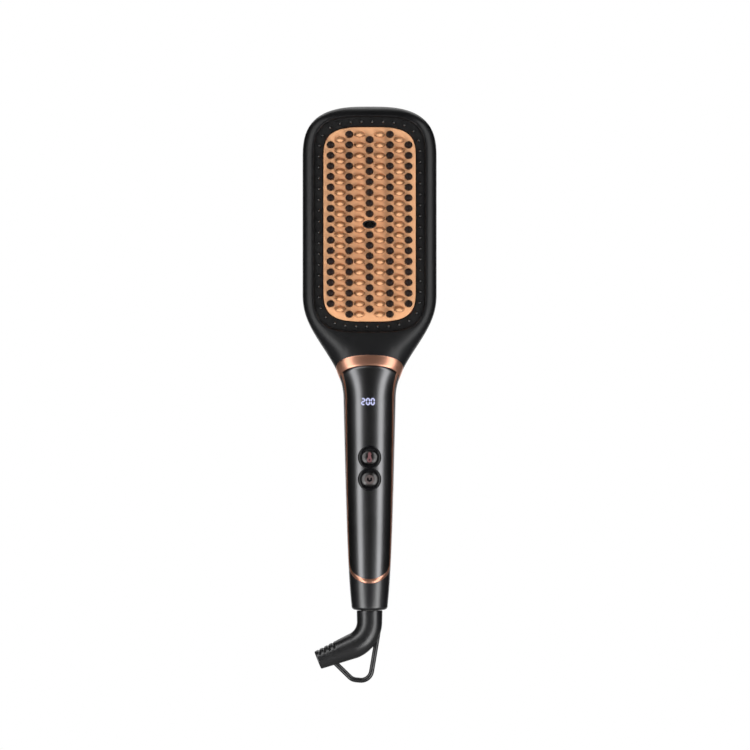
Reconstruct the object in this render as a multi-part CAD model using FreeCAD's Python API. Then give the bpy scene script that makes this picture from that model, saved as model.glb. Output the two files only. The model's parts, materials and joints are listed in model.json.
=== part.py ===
import FreeCAD, Part
import math
import os
from FreeCAD import Vector

# Heated hair straightener brush with an ion outlet, two buttons and a swivelling cord boot.
# Sizes are in mm. Z runs up the handle, the bristles point to -Y. Heights are measured up
# from the tail of the handle, and save() moves every piece so that the origin lies on the
# handle's axis in the middle of the grip.

# ---------------------------------------------------------------- body
body_length = 285.9
head_width = 76.1
head_depth = 25.0
crown_depth = 30.2          # height of the rounded top end, seen from the front
crown_power = 2.87
crown_roll = 12.0           # the same end, seen from the side
crown_roll_power = 2.3
neck_height = 119.0         # the round handle ends and the shoulders start
shoulder_length = 60.0
neck_radius = 14.82
tail_radius = 10.03
tail_turn_in = 2.0          # how far the last stretch curves inwards
tail_turn_height = 22.0
tail_round_width = 2.6
tail_round_height = 1.9
front_power = 4.8           # the head is flat in front and rounder behind
back_power = 3.0
round_height = 142.0        # up to here the sections are plain ovals
square_length = 28.0        # over this height they turn into the head's soft oblong
section_points = 24
handle_stations = 7
outer_stations = 11
inner_stations = 7
outer_angles = (0, 15, 30, 45, 58, 70, 80, 87)    # where the crown's sections stand, in degrees
inner_angles = (0, 25, 50, 70, 84)
wall = 2.0
inner_clearance = 0.1
grip_height = 67.0          # middle of the grip, above the tail
head_seam = 1.0             # front and rear head shells meet on this plane

# ---------------------------------------------------------------- neck collar
collar_upper_height = 135.6
collar_upper_slope = 0.68
collar_lower_height = 130.3
collar_lower_slope = 0.6
spigot_thickness = 1.2
spigot_reach = 4.0

# ---------------------------------------------------------------- handle panel and trim
panel_side = -3.5           # Y of the panel's long edges at the tail's height
panel_lean = 0.032          # how far they come forwards per mm of height
panel_end_height = 17.8     # the panel's lower edge in the middle of the front
panel_end_slope = 0.85      # how it rises towards the sides
panel_corner = 8.0          # radius where that edge turns up into the long edges
trim_width = 2.0
trim_thickness = 1.4

# ---------------------------------------------------------------- heated plate
plate_width = 52.4
plate_height = 110.3
plate_end = 20.0
plate_power = 3.5
plate_centre = 218.9
plate_recess = 1.5          # the plate's face lies this far behind the head's face
plate_skin = 2.2
plate_skirt = 1.5
flange_width = 3.0
flange_thickness = 1.5
tooth_height = 7.5
tooth_base = (3.1, 1.75)
tooth_taper = 0.7           # size of a tooth's tip against its base
row_pitch = 6.0
inner_column = 11.5
outer_column = 22.1
repeat_sides = 8            # bristles, teeth and their holes repeat, so they have few faces

# ---------------------------------------------------------------- channel and guard comb
channel_width = 62.6
channel_height = 121.8
channel_end = 25.5
comb_drop = 2.0
comb_thickness = 1.8
comb_lip = 1.3
comb_clearance = 0.4
guard_count = 52
guard_radius = 0.75
guard_height = 6.5
guard_sides = 6
gasket_thickness = 0.8

# ---------------------------------------------------------------- bristles
bristle_radius = 2.2
bristle_tip_radius = 1.8
bristle_reach = 11.0        # above the plate's face
bristle_nose = 1.0
bristle_clearance = 0.25
inner_column_rows = 18
outer_column_rows = 16
middle_column_rows = 17
inner_tooth_rows = 18
outer_tooth_rows = 17

# ---------------------------------------------------------------- heating parts
heater_width = 3.0
heater_length = 90.0
heater_thickness = 1.8
heater_terminal = 3.0
terminal_rise = 3.0
terminal_drop = 43.0
carrier_gap = 0.3
clamp_width = 20.0
clamp_thickness = 1.0
insulation_thickness = 0.6
clamp_screw_offset = 49.5
small_boss_radius = 2.2
small_screw_radius = 0.9
small_head_radius = 1.9
small_head_height = 1.2
small_screw_depth = 4.2
nozzle_width = 8.0
nozzle_height = 4.8
nozzle_wall = 1.0
nozzle_flange = 1.4
needle_radius = 0.5
needle_reach = 6.0
ion_module_size = (26.0, 8.5, 18.0)
module_gap = 1.9            # between the nozzle's flange and the ion module
thermistor_radius = 1.5
thermistor_length = 4.0
thermistor_place = -24.0    # from the plate's centre
fuse_radius = 2.0
fuse_length = 11.0
fuse_place = 19.5
thin_leg_radius = 0.5
thin_leg_reach = 6.0

# ---------------------------------------------------------------- controls
button_heights = (86.8, 74.4)
button_radius = 4.65
button_gap = 0.2
button_face = -14.2         # top of a cap's dome
button_dome = 8.0           # radius of that dome
button_travel = 0.5
cap_thickness = 3.2
cap_flange = 0.85
cap_flange_thickness = 1.0
cap_flange_gap = 0.05
bezel_radius = 6.65
bezel_flange = 1.0
bezel_flange_depth = 1.15
stem_radius = 1.5
stem_length = 1.1
plunger_radius = 1.7
plunger_length = 1.6
well_radius = 1.9
switch_size = 6.0
switch_height = 3.4
board_front = -4.5
board_thickness = 1.6
board_width = 15.0
board_bottom = 34.0
board_top = 122.5
board_screw_heights = (42.0, 98.0)
board_screw_side = 4.8
board_post_radius = 2.2
display_height = 118.4
display_size = (12.0, 7.0)
display_depth = 6.2
capacitor_radius = 4.5
capacitor_ends = (52.0, 70.0)
triac_size = (10.0, 4.5, 15.0)
triac_bottom = 78.0

# ---------------------------------------------------------------- fasteners of the shells
shell_screw_radius = 1.4
shell_head_radius = 2.6
shell_head_height = 1.8
shell_boss_radius = 3.2
shell_joint_plane = -1.0
shell_screw_length = 9.0
handle_screw_heights = (28.0, 108.0)
head_screw_height = 152.0
head_screw_side = 14.0
screw_seat = 3.0            # material left under a screw's head
board_hole_gap = 0.4
post_radius = 2.0
post_rows = (-32.0, 0.0, 32.0)
tongue_width = 16.0
tongue_thickness = 1.2
tongue_reach = 4.0

# ---------------------------------------------------------------- cord swivel
tail_floor = 2.6
bush_radius = 6.5
bush_flange = 1.4
bush_flange_thickness = 1.2
shaft_radius = 4.97
bearing_gap = 0.08
drum_flange_radius = 7.6
drum_flange_thickness = 1.5
drum_lift = 0.1
drum_body_radius = 5.5
drum_body_top = 12.0
drum_pin_radius = 3.0
drum_pin_top = 18.0
drum_socket = 9.0
ring_width = 3.0
ring_thickness = 0.8
outer_ring_bottom = 7.0
inner_ring_bottom = 13.0
ledge_bottom = 9.0
ledge_thickness = 1.6
ledge_radius = 7.9
holder_thickness = 1.6
holder_hole = 7.0
contact_gap = 0.1
contact_thickness = 0.3
contact_width = 2.5
contact_foot = 2.0

# ---------------------------------------------------------------- cord boot
boot_radius = 7.35
boot_bend_tube = 7.2
boot_end_radius = 5.3
boot_gap = 0.3
boot_drop = 6.56
boot_bend_radius = 15.0
boot_bend_angle = 68.0
boot_straight = 21.7
cord_radius = 3.5
cord_bore_depth = 18.0
loop_radius = 1.45
loop_bend = 6.0
loop_route = ((4.8, -13.0), (0.2, -40.4), (-9.8, -39.5), (-20.4, -29.2))

# ---------------------------------------------------------------- leads
lead_radius = 0.8
lead_bend = 2.5
lead_depth = 1.5            # the leads run behind the boards in this plane
heater_lead_drop = 5.5      # where a lead meets the board, below its top or above its bottom
ion_lead_drop = 2.5
mains_lead_lift = 3.0
mains_lead_inset = 2.0
mains_lead_rise = 12.0      # straight stretch above the contacts

# ---------------------------------------------------------------- worked out
head_front = -head_depth / 2
plate_face = head_front + plate_recess
skin_back = plate_face + plate_skin
comb_front = plate_face + comb_drop
comb_back = comb_front + comb_thickness
flange_front = comb_back + gasket_thickness
flange_back = flange_front + flange_thickness
heater_back = skin_back + heater_thickness
clamp_back = heater_back + clamp_thickness
insulation_back = clamp_back + insulation_thickness
carrier_back = heater_back - carrier_gap
inner_tooth_column = inner_column / 2
outer_tooth_column = (inner_column + outer_column) / 2
board_back = board_front + board_thickness
cap_back = button_face + cap_thickness
cap_flange_back = cap_back + cap_flange_thickness
bezel_step = cap_back - cap_flange_gap
stem_back = cap_flange_back + stem_length
straight_bottom = neck_height + shoulder_length
straight_top = body_length - crown_depth
far = 200.0                 # reaches past the whole part


def save(name, shape):
    shape = shape.copy()
    shape.translate(Vector(0, 0, -grip_height))
    shape.exportStep("parts/" + name + ".step")
    print(name, len(shape.Solids), "solids, volume", round(shape.Volume, 1))


# ================================================================ plain shapes

def box(x_range, y_range, z_range):
    corner = Vector(x_range[0], y_range[0], z_range[0])
    size = [high - low for low, high in (x_range, y_range, z_range)]
    return Part.makeBox(*size, corner)


def rod_y(radius, x, height, y_range):
    start = Vector(x, y_range[0], height)
    return Part.makeCylinder(radius, y_range[1] - y_range[0], start, Vector(0, 1, 0))


def rod_z(radius, z_range, x=0.0, y=0.0):
    return Part.makeCylinder(radius, z_range[1] - z_range[0], Vector(x, y, z_range[0]))


def tube_z(outer, inner, z_range):
    return rod_z(outer, z_range).cut(rod_z(inner, z_range))


def curve(points, **options):
    spline = Part.BSplineCurve()
    spline.interpolate(Points=points, **options)
    return spline.toShape()


# A closed solid between two like polygons, with flat sides.
def frustum(lower, upper):
    count = len(lower)
    faces = [Part.Face(Part.makePolygon(ring + ring[:1])) for ring in (lower, upper)]
    for i in range(count):
        j = (i + 1) % count
        side = [lower[i], lower[j], upper[j], upper[i], lower[i]]
        faces.append(Part.Face(Part.makePolygon(side)))
    solid = Part.Solid(Part.Shell(faces))
    if solid.Volume < 0:
        solid.reverse()
    return solid


# The corners of an oval with few sides, standing at x, y and height.
def oval_ring(x, y, height, half_width, half_height, sides):
    ring = []
    for i in range(sides):
        angle = 2 * math.pi * (i + 0.5) / sides
        ring.append(Vector(x + half_width * math.cos(angle), y, height + half_height * math.sin(angle)))
    return ring


# Straight sides and superelliptic ends, lying in the plane y and centred on the plate.
def capsule_face(width, height, end, y):
    half_width = width / 2
    ends = []
    for sign in (1, -1):
        points = []
        for step in range(9):
            angle = math.pi * step / 8
            x = half_width * math.copysign(abs(math.cos(angle)) ** (2 / plate_power), math.cos(angle))
            rise = height / 2 - end + end * math.sin(angle) ** (2 / plate_power)
            points.append(Vector(sign * x, y, plate_centre + sign * rise))
        up = Vector(0, 0, sign)
        ends.append((points, curve(points, InitialTangent=up, FinalTangent=up * -1)))
    (top_points, top), (bottom_points, bottom) = ends
    left = Part.makeLine(top_points[-1], bottom_points[0])
    right = Part.makeLine(bottom_points[-1], top_points[0])
    return Part.Face(Part.Wire([top, left, bottom, right]))


def capsule(width, height, end, y_range):
    face = capsule_face(width, height, end, y_range[0])
    return face.extrude(Vector(0, y_range[1] - y_range[0], 0))


def plate_capsule(growth, y_range):
    return capsule(plate_width + 2 * growth, plate_height + 2 * growth, plate_end + growth, y_range)


def channel_capsule(growth, y_range):
    return capsule(channel_width + 2 * growth, channel_height + 2 * growth, channel_end + growth, y_range)


# A round lead or strand along straight runs joined by tangent arcs.
def strand(route, radius, bend):
    edges = []
    start = route[0]
    for before, corner, after in zip(route, route[1:], route[2:]):
        arriving = (corner - before).normalize()
        leaving = (after - corner).normalize()
        turn = arriving.getAngle(leaving)
        reach = bend * math.tan(turn / 2)
        arc_start = corner - arriving * reach
        arc_end = corner + leaving * reach
        inwards = (leaving - arriving).normalize()
        centre = corner + inwards * (bend / math.cos(turn / 2))
        middle = centre - inwards * bend
        edges.append(Part.makeLine(start, arc_start))
        edges.append(Part.Arc(arc_start, middle, arc_end).toShape())
        start = arc_end
    edges.append(Part.makeLine(start, route[-1]))
    path = Part.Wire(edges)
    ring = Part.Wire([Part.makeCircle(radius, route[0], route[1] - route[0])])
    return path.makePipeShell([ring], True, False)


# A screw whose head rests at y = seat. direction is -1 where it drives to the front.
def screw_y(x, height, seat, length, radius, head_radius, head_height, direction=-1):
    ends = sorted((seat, seat + direction * length))
    shank = rod_y(radius, x, height, ends)
    head = rod_y(head_radius, x, height, sorted((seat, seat - direction * head_height)))
    return shank.fuse(head).removeSplitter()


# ================================================================ the body's outer form

def handle_radius(height):
    taper = (neck_radius - tail_radius - tail_turn_in) * (1 - height / neck_height)
    return neck_radius - taper - tail_turn_in * math.exp(-height / tail_turn_height)


# Eases from 0 to 1: half smoothstep, half the steeper smootherstep.
def flare(height):
    t = min(1.0, max(0.0, (height - neck_height) / shoulder_length))
    smoothstep = t * t * (3 - 2 * t)
    smootherstep = t ** 3 * (t * (6 * t - 15) + 10)
    return (smoothstep + smootherstep) / 2


def blend(low, high, share):
    return low + (high - low) * share


# 1 below the end, then the quarter of a superellipse that closes it.
def closing(height, top, depth, power):
    t = (height - top + depth) / depth
    return 1.0 if t <= 0 else (1 - min(t, 1.0) ** power) ** (1 / power)


# 0 for a plain oval, 1 for the head's soft oblong.
def squareness(height):
    t = min(1.0, max(0.0, (height - round_height) / square_length))
    return t * t * (3 - 2 * t)


# The body's cross-section: a circle at the neck, a wide soft oblong at the head.
def section_wire(height, inset):
    share = flare(height)
    top = body_length - inset
    across = closing(height, top, crown_depth - inset, crown_power)
    through = closing(height, top, crown_roll - inset, crown_roll_power)
    radius = handle_radius(min(height, neck_height))
    half_width = (blend(radius, head_width / 2, share) - inset) * across
    half_depth = (blend(radius, head_depth / 2, share) - inset) * through
    points = []
    for i in range(section_points):
        angle = 2 * math.pi * i / section_points
        along, out = math.cos(angle), math.sin(angle)
        power = blend(2.0, back_power if out > 0 else front_power, squareness(height))
        size = (abs(along) ** power + abs(out) ** power) ** (1 / power)
        points.append(Vector(half_width * along / size, half_depth * out / size, height))
    steps = [i / section_points for i in range(section_points + 1)]
    return Part.Wire([curve(points, PeriodicFlag=True, Parameters=steps)])


def tail_rounding():
    corner = handle_radius(tail_round_height)
    ring = Part.makeCone(corner - tail_round_width, corner, tail_round_height)
    return rod_z(2 * corner, (0, tail_round_height)).cut(ring)


def loft(heights, inset):
    return Part.makeLoft([section_wire(h, inset) for h in heights], True, False, False, 3)


def shoulder_heights(stations):
    return [neck_height + shoulder_length * i / (stations - 1) for i in range(stations)]


# The handle up to the straight stretch of the head. Its stations crowd towards the tail.
def lower_form(inset, bottom, stations):
    handle = [blend(bottom, neck_height, (i / handle_stations) ** 1.5) for i in range(handle_stations)]
    return loft(handle + shoulder_heights(stations), inset)


def straight_form(inset):
    face = Part.Face(section_wire(straight_bottom, inset))
    return face.extrude(Vector(0, 0, straight_top - straight_bottom))


def crown_form(inset, angles):
    depth = crown_depth - inset
    return loft([straight_top + depth * math.sin(math.radians(angle)) for angle in angles], inset)


def body_form(inset, bottom, stations, angles):
    upper = [straight_form(inset), crown_form(inset, angles)]
    return lower_form(inset, bottom, stations).multiFuse(upper)


# ================================================================ cutting regions

# Everything above the plane that leans forwards and passes the axis at this height.
def above_plane(height, slope):
    face = Part.Face(Part.makePolygon([
        Vector(-far, -far, height + slope * far),
        Vector(-far, far, height - slope * far),
        Vector(-far, far, 3 * far),
        Vector(-far, -far, 3 * far),
        Vector(-far, -far, height + slope * far),
    ]))
    return face.extrude(Vector(2 * far, 0, 0))


def in_front_of(y):
    return box((-far, far), (-far, y), (-far, 2 * far))


# The handle's front region, seen from the side: a long edge y = side - lean * h, a lower edge
# h = low + slope * (y - front) and a round corner between them. It grows by moving both edges out.
def panel_region(growth):
    front = -handle_radius(panel_end_height)
    low = panel_end_height - growth * math.hypot(1, panel_end_slope)
    side = panel_side + growth * math.hypot(1, panel_lean)
    low_at_axis = low - panel_end_slope * front
    y = (side - panel_lean * low_at_axis) / (1 + panel_lean * panel_end_slope)
    corner = Vector(-far, y, low_at_axis + panel_end_slope * y)
    along_side = Vector(0, -panel_lean, 1) * far
    along_end = Vector(0, -1, -panel_end_slope) * far
    outline = [corner, corner + along_side, corner + along_side + along_end, corner + along_end, corner]
    region = Part.Face(Part.makePolygon(outline)).extrude(Vector(2 * far, 0, 0))
    edge = [e for e in region.Edges if e.CenterOfMass.distanceToPoint(corner + Vector(far, 0, 0)) < 1]
    return region.makeFillet(panel_corner + growth, edge)


# ================================================================ shells

def shell_boss(x, height, y_range):
    return rod_y(shell_boss_radius, x, height, y_range)


def pilot(x, height, y_range):
    return rod_y(shell_screw_radius, x, height, y_range)


def screw_seat_y(x, height):
    line = Part.makeLine(Vector(x, 0, height), Vector(x, far, height))
    surface = outer.common(line).BoundBox.YMax
    return surface - wall - shell_head_height


def shell_screws(places):
    screws = []
    for x, height in places:
        seat = screw_seat_y(x, height)
        screws.append(screw_y(x, height, seat, seat - shell_joint_plane + shell_screw_length,
                              shell_screw_radius, shell_head_radius, shell_head_height))
    return screws


# The rear half of each joint: a boss from the wall to the joint plane, bored for screw and head.
def rear_screw_places(shell, places):
    for x, height in places:
        seat = screw_seat_y(x, height)
        boss = shell_boss(x, height, (shell_joint_plane, far)).common(inner)
        boss = boss.fuse(shell_boss(x, height, (seat - screw_seat, far)).common(outer))
        shell = shell.fuse(boss)
        shell = shell.cut(rod_y(shell_head_radius + board_hole_gap, x, height, (seat, far)))
        shell = shell.cut(pilot(x, height, (shell_joint_plane - 1, far)))
    return shell


# The front half: a boss from the front wall to the joint plane, with a blind pilot hole.
def front_screw_places(shell, places):
    for x, height in places:
        boss = shell_boss(x, height, (-far, shell_joint_plane)).common(inner)
        depth = shell_joint_plane - shell_screw_length
        shell = shell.fuse(boss).cut(pilot(x, height, (depth, shell_joint_plane)))
    return shell


def head_front_shell():
    shell = head_wall.common(in_front_of(head_seam))
    shell = shell.cut(channel_capsule(0, (-far, 0)))
    return front_screw_places(shell, head_screw_places)


def pressure_posts():
    side = plate_width / 2 + flange_width / 2
    posts = []
    for row in post_rows:
        for x in (-side, side):
            posts.append(rod_y(post_radius, x, plate_centre + row, (flange_back, far)).common(inner))
    return posts


def module_posts():
    half_width = ion_module_size[0] / 2 - post_radius
    back = insulation_back + nozzle_flange + module_gap + ion_module_size[1]
    posts = []
    for x in (-half_width, half_width):
        posts.append(rod_y(post_radius, x, plate_centre, (back, far)).common(inner))
    return posts


# The rear shell's tongue slips under the front shell's top wall.
def top_tongue():
    tongue = box((-tongue_width / 2, tongue_width / 2), (head_seam - tongue_reach, head_seam + tongue_reach),
                 (straight_top, body_length))
    return tongue.common(inner).cut(tongue_core)


def head_rear_shell():
    shell = head_wall.cut(in_front_of(head_seam))
    shell = shell.multiFuse(pressure_posts() + module_posts() + [top_tongue()])
    return rear_screw_places(shell, head_screw_places)


def neck_collar():
    lower = above_plane(collar_lower_height - spigot_reach, collar_lower_slope)
    upper = above_plane(collar_upper_height + spigot_reach, collar_upper_slope)
    gap = wall + inner_clearance
    stations = shoulder_heights(inner_stations)
    bore = loft(stations, gap + spigot_thickness)
    sleeve = loft(stations, gap).cut(bore).common(lower).cut(upper)
    return outer.cut(bore).common(collar_region).fuse(sleeve)


def handle_wall():
    hollow = outer.cut(inner)
    return hollow.cut(above_plane(collar_lower_height, collar_lower_slope))


def contact_ledge():
    top = ledge_bottom + ledge_thickness
    return tube_z(neck_radius, ledge_radius, (ledge_bottom, top)).common(inner)


def handle_trim():
    return trim_skin.common(panel_region(trim_width)).cut(panel_region(0))


def handle_rear_shell():
    shell = handle_hull.cut(panel_region(0)).cut(trim)
    shell = shell.fuse(contact_ledge())
    shell = rear_screw_places(shell, [(0.0, h) for h in handle_screw_heights])
    return shell.cut(rod_z(bush_radius, (-1, tail_floor + 1)))


def figure_eight(radius, y_range):
    heights = (min(button_heights), max(button_heights))
    lower, upper = [rod_y(radius, 0, h, y_range) for h in heights]
    return lower.fuse(upper)


def handle_front_panel():
    panel = handle_hull.common(panel_region(0))
    panel = front_screw_places(panel, [(0.0, h) for h in handle_screw_heights])
    for height in board_screw_heights:
        for x in (-board_screw_side, board_screw_side):
            post = rod_y(board_post_radius, x, height, (-far, board_front)).common(inner)
            bore = (board_front - small_screw_depth, board_front)
            panel = panel.fuse(post).cut(rod_y(small_screw_radius, x, height, bore))
    return panel.cut(figure_eight(bezel_radius + inner_clearance, (-far, 0)))


def button_bezel():
    core = figure_eight(bezel_radius, (-far, bezel_step)).common(outer)
    flange = figure_eight(bezel_radius + bezel_flange, (-far, bezel_step + bezel_flange_depth)).common(inner)
    bezel = core.fuse(flange)
    for height in button_heights:
        bezel = bezel.cut(rod_y(button_radius + button_gap, 0, height, (-far, 0)))
        bezel = bezel.cut(rod_y(button_radius + cap_flange + button_gap, 0, height, (bezel_step, 0)))
    return bezel


# ================================================================ heated plate and brush field

# Rows of one column, centred on the plate.
def column_heights(rows):
    return [plate_centre + (i - (rows - 1) / 2) * row_pitch for i in range(rows)]


def bristle_places():
    places = []
    for x, rows in ((inner_column, inner_column_rows), (outer_column, outer_column_rows)):
        for height in column_heights(rows):
            places += [(-x, height), (x, height)]
    for height in column_heights(middle_column_rows):
        if abs(height - plate_centre) > row_pitch / 2:
            places.append((0.0, height))
    return places


def tooth_places():
    places = []
    for x, rows in ((inner_tooth_column, inner_tooth_rows), (outer_tooth_column, outer_tooth_rows)):
        for height in column_heights(rows):
            places += [(-x, height), (x, height)]
    return places


def tooth(x, height):
    base = oval_ring(x, plate_face + plate_skin / 2, height, *tooth_base, repeat_sides)
    tip_size = [size * tooth_taper for size in tooth_base]
    tip = oval_ring(x, plate_face - tooth_height, height, *tip_size, repeat_sides)
    return frustum(base, tip)


def clamp_screw_places():
    side = inner_tooth_column
    rows = (plate_centre - clamp_screw_offset, plate_centre + clamp_screw_offset)
    return [(x, height) for x in (-side, side) for height in rows]


def nozzle_oval(growth, y_range):
    ends = []
    for y in y_range:
        ends.append(oval_ring(0, y, plate_centre, nozzle_width / 2 + growth, nozzle_height / 2 + growth, 16))
    return frustum(*ends)


def heater_plate():
    skin = plate_capsule(0, (plate_face, skin_back))
    skirt = plate_capsule(0, (plate_face, flange_back))
    skirt = skirt.cut(plate_capsule(-plate_skirt, (skin_back, flange_back)))
    flange = plate_capsule(flange_width, (flange_front, flange_back))
    flange = flange.cut(plate_capsule(-plate_skirt, (flange_front, flange_back)))
    bosses = [rod_y(small_boss_radius, x, h, (plate_face, heater_back)) for x, h in clamp_screw_places()]
    holes = []
    for x, height in bristle_places():
        radius = bristle_radius + bristle_clearance
        rings = [oval_ring(x, y, height, radius, radius, repeat_sides)
                 for y in (plate_face - 1, flange_back + 1)]
        holes.append(frustum(*rings))
    holes.append(nozzle_oval(inner_clearance, (plate_face - 1, skin_back + 1)))
    plate = skin.multiFuse([skirt, flange] + bosses).removeSplitter()
    plate = plate.cut(Part.makeCompound(holes))
    plate = plate.multiFuse([tooth(x, height) for x, height in tooth_places()])
    pilot_front = insulation_back - small_screw_depth
    pilots = [rod_y(small_screw_radius, x, h, (pilot_front, 0)) for x, h in clamp_screw_places()]
    return plate.cut(Part.makeCompound(pilots))


def guard_comb():
    floor = channel_capsule(comb_lip, (comb_front, comb_back))
    lip = channel_capsule(comb_lip, (head_front, comb_front))
    lip = lip.cut(channel_capsule(0, (head_front, comb_front)))
    comb = floor.fuse(lip).common(inner)
    comb = comb.cut(plate_capsule(comb_clearance, (-far, 0)))
    middle = (plate_width + channel_width) / 4, (plate_height + channel_height) / 4
    path = capsule_face(2 * middle[0], 2 * middle[1], (plate_end + channel_end) / 2, comb_front).OuterWire
    pins = []
    for point in path.discretize(Number=guard_count + 1)[:-1]:
        rings = [oval_ring(point.x, y, point.z, guard_radius, guard_radius, guard_sides)
                 for y in (comb_front + comb_thickness / 2, comb_front - guard_height)]
        pins.append(frustum(*rings))
    return comb.multiFuse(pins)


def plate_gasket():
    ring = plate_capsule(flange_width, (comb_back, flange_front))
    return ring.cut(plate_capsule(comb_clearance, (comb_back, flange_front)))


def bristle(x, height):
    root = oval_ring(x, carrier_back - carrier_gap, height, bristle_radius, bristle_radius, repeat_sides)
    shoulder = plate_face - bristle_reach + bristle_nose
    neck = oval_ring(x, shoulder, height, bristle_tip_radius, bristle_tip_radius, repeat_sides)
    nose_radius = bristle_tip_radius - bristle_nose
    nose = oval_ring(x, plate_face - bristle_reach, height, nose_radius, nose_radius, repeat_sides)
    return [frustum(root, neck), frustum(neck, nose)]


def bristle_carrier():
    strip = plate_capsule(-plate_skirt - carrier_gap, (skin_back, carrier_back))
    gaps = []
    for x in (-inner_tooth_column, inner_tooth_column):
        half_width = heater_width / 2 + carrier_gap
        half_length = heater_length / 2 + carrier_gap
        gaps.append(box((x - half_width, x + half_width), (skin_back, carrier_back),
                        (plate_centre - half_length, plate_centre + half_length)))
    for x, height in clamp_screw_places():
        gaps.append(rod_y(small_boss_radius + carrier_gap, x, height, (skin_back, carrier_back)))
    gaps.append(nozzle_oval(carrier_gap, (skin_back, carrier_back)))
    strip = strip.cut(Part.makeCompound(gaps))
    pieces = []
    for x, height in bristle_places():
        pieces += bristle(x, height)
    return strip.multiFuse(pieces)


def heater(x):
    bar = box((x - heater_width / 2, x + heater_width / 2), (skin_back, heater_back),
              (plate_centre - heater_length / 2, plate_centre + heater_length / 2))
    return bar.fuse(terminal(x, 0, (heater_back, heater_back + terminal_rise))).removeSplitter()


def terminal(x, growth, y_range):
    half = heater_terminal / 2 + growth
    height = plate_centre - terminal_drop
    return box((x - half, x + half), y_range, (height - half, height + half))


# What the clamp and the sheet behind it let through: terminals, screws and the nozzle.
def backing_holes(y_range):
    holes = [terminal(x, carrier_gap, y_range) for x in (-inner_tooth_column, inner_tooth_column)]
    for x, height in clamp_screw_places():
        holes.append(rod_y(small_screw_radius + inner_clearance, x, height, y_range))
    holes.append(nozzle_oval(carrier_gap, y_range))
    return Part.makeCompound(holes)


def heater_clamp():
    half_height = clamp_screw_offset + small_boss_radius
    strip = box((-clamp_width / 2, clamp_width / 2), (heater_back, clamp_back),
                (plate_centre - half_height, plate_centre + half_height))
    corners = [edge for edge in strip.Edges if abs(edge.tangentAt(edge.FirstParameter).y) > 0.9]
    return strip.makeFillet(small_boss_radius, corners).cut(backing_holes((heater_back, clamp_back)))


def insulation_sheet():
    sheet = plate_capsule(-plate_skirt - carrier_gap, (clamp_back, insulation_back))
    return sheet.cut(backing_holes((clamp_back, insulation_back)))


def clamp_screws():
    return [screw_y(x, height, insulation_back, small_screw_depth, small_screw_radius,
                    small_head_radius, small_head_height) for x, height in clamp_screw_places()]


# A small round part with a leg at each end, lying on the insulation.
def leaded_part(radius, length, place):
    depth = insulation_back + radius
    bottom = plate_centre + place - length / 2
    top = bottom + length
    body = rod_z(radius, (bottom, top), inner_column, depth)
    legs = rod_z(thin_leg_radius, (bottom - thin_leg_reach, top + thin_leg_reach), inner_column, depth)
    return body.fuse(legs)


def ion_nozzle():
    back = insulation_back + nozzle_flange
    tube = nozzle_oval(0, (plate_face, back))
    flange = nozzle_oval(nozzle_flange, (insulation_back, back))
    return tube.fuse(flange).cut(nozzle_oval(-nozzle_wall, (plate_face - 1, back + 1)))


def ion_module_front():
    return insulation_back + nozzle_flange + module_gap


def ion_needle():
    front = ion_module_front()
    pin = rod_y(needle_radius, 0, plate_centre, (front - needle_reach, front))
    return pin.fuse(rod_y(3 * needle_radius, 0, plate_centre, (front - needle_radius, front)))


def ion_module():
    width, depth, height = ion_module_size
    front = ion_module_front()
    return box((-width / 2, width / 2), (front, front + depth),
               (plate_centre - height / 2, plate_centre + height / 2))


# ================================================================ controls and board

def main_board():
    board = box((-board_width / 2, board_width / 2), (board_front, board_back), (board_bottom, board_top))
    upper_screw = max(handle_screw_heights)
    board = board.cut(rod_y(shell_boss_radius + board_hole_gap, 0, upper_screw, (board_front, board_back)))
    for height in board_screw_heights:
        for x in (-board_screw_side, board_screw_side):
            hole = rod_y(small_screw_radius + inner_clearance, x, height, (board_front, board_back))
            board = board.cut(hole)
    return board


def board_screws():
    screws = []
    for height in board_screw_heights:
        for x in (-board_screw_side, board_screw_side):
            screws.append(screw_y(x, height, board_back, small_screw_depth, small_screw_radius,
                                  small_head_radius, small_head_height))
    return screws


def display_module():
    width, height = display_size
    return box((-width / 2, width / 2), (board_front - display_depth, board_front),
               (display_height - height / 2, display_height + height / 2))


def switch_housing(height):
    half = switch_size / 2
    front = board_front - switch_height
    block = box((-half, half), (front, board_front), (height - half, height + half))
    return block.cut(rod_y(well_radius, 0, height, (front, front + well_depth())))


def well_depth():
    return plunger_back() + 2 * button_travel - (board_front - switch_height)


def plunger_back():
    return stem_back + plunger_length


def plunger(height):
    return rod_y(plunger_radius, 0, height, (stem_back, plunger_back()))


def button_cap(height):
    dome = Part.makeSphere(button_dome, Vector(0, button_face + button_dome, height))
    cap = rod_y(button_radius, 0, height, (button_face - 1, cap_back)).common(dome)
    flange = rod_y(button_radius + cap_flange, 0, height, (cap_back, cap_flange_back))
    stem = rod_y(stem_radius, 0, height, (cap_flange_back, stem_back))
    return cap.multiFuse([flange, stem])


def capacitor():
    return rod_z(capacitor_radius, capacitor_ends, 0, board_back + capacitor_radius)


def power_triac():
    width, depth, height = triac_size
    return box((-width / 2, width / 2), (board_back, board_back + depth),
               (triac_bottom, triac_bottom + height))


# ================================================================ cord swivel

def tail_bush():
    bore = shaft_radius + bearing_gap
    sleeve = tube_z(bush_radius, bore, (0, tail_floor))
    top = tail_floor + bush_flange_thickness
    return sleeve.fuse(tube_z(bush_radius + bush_flange, bore, (tail_floor, top))).removeSplitter()


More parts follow.
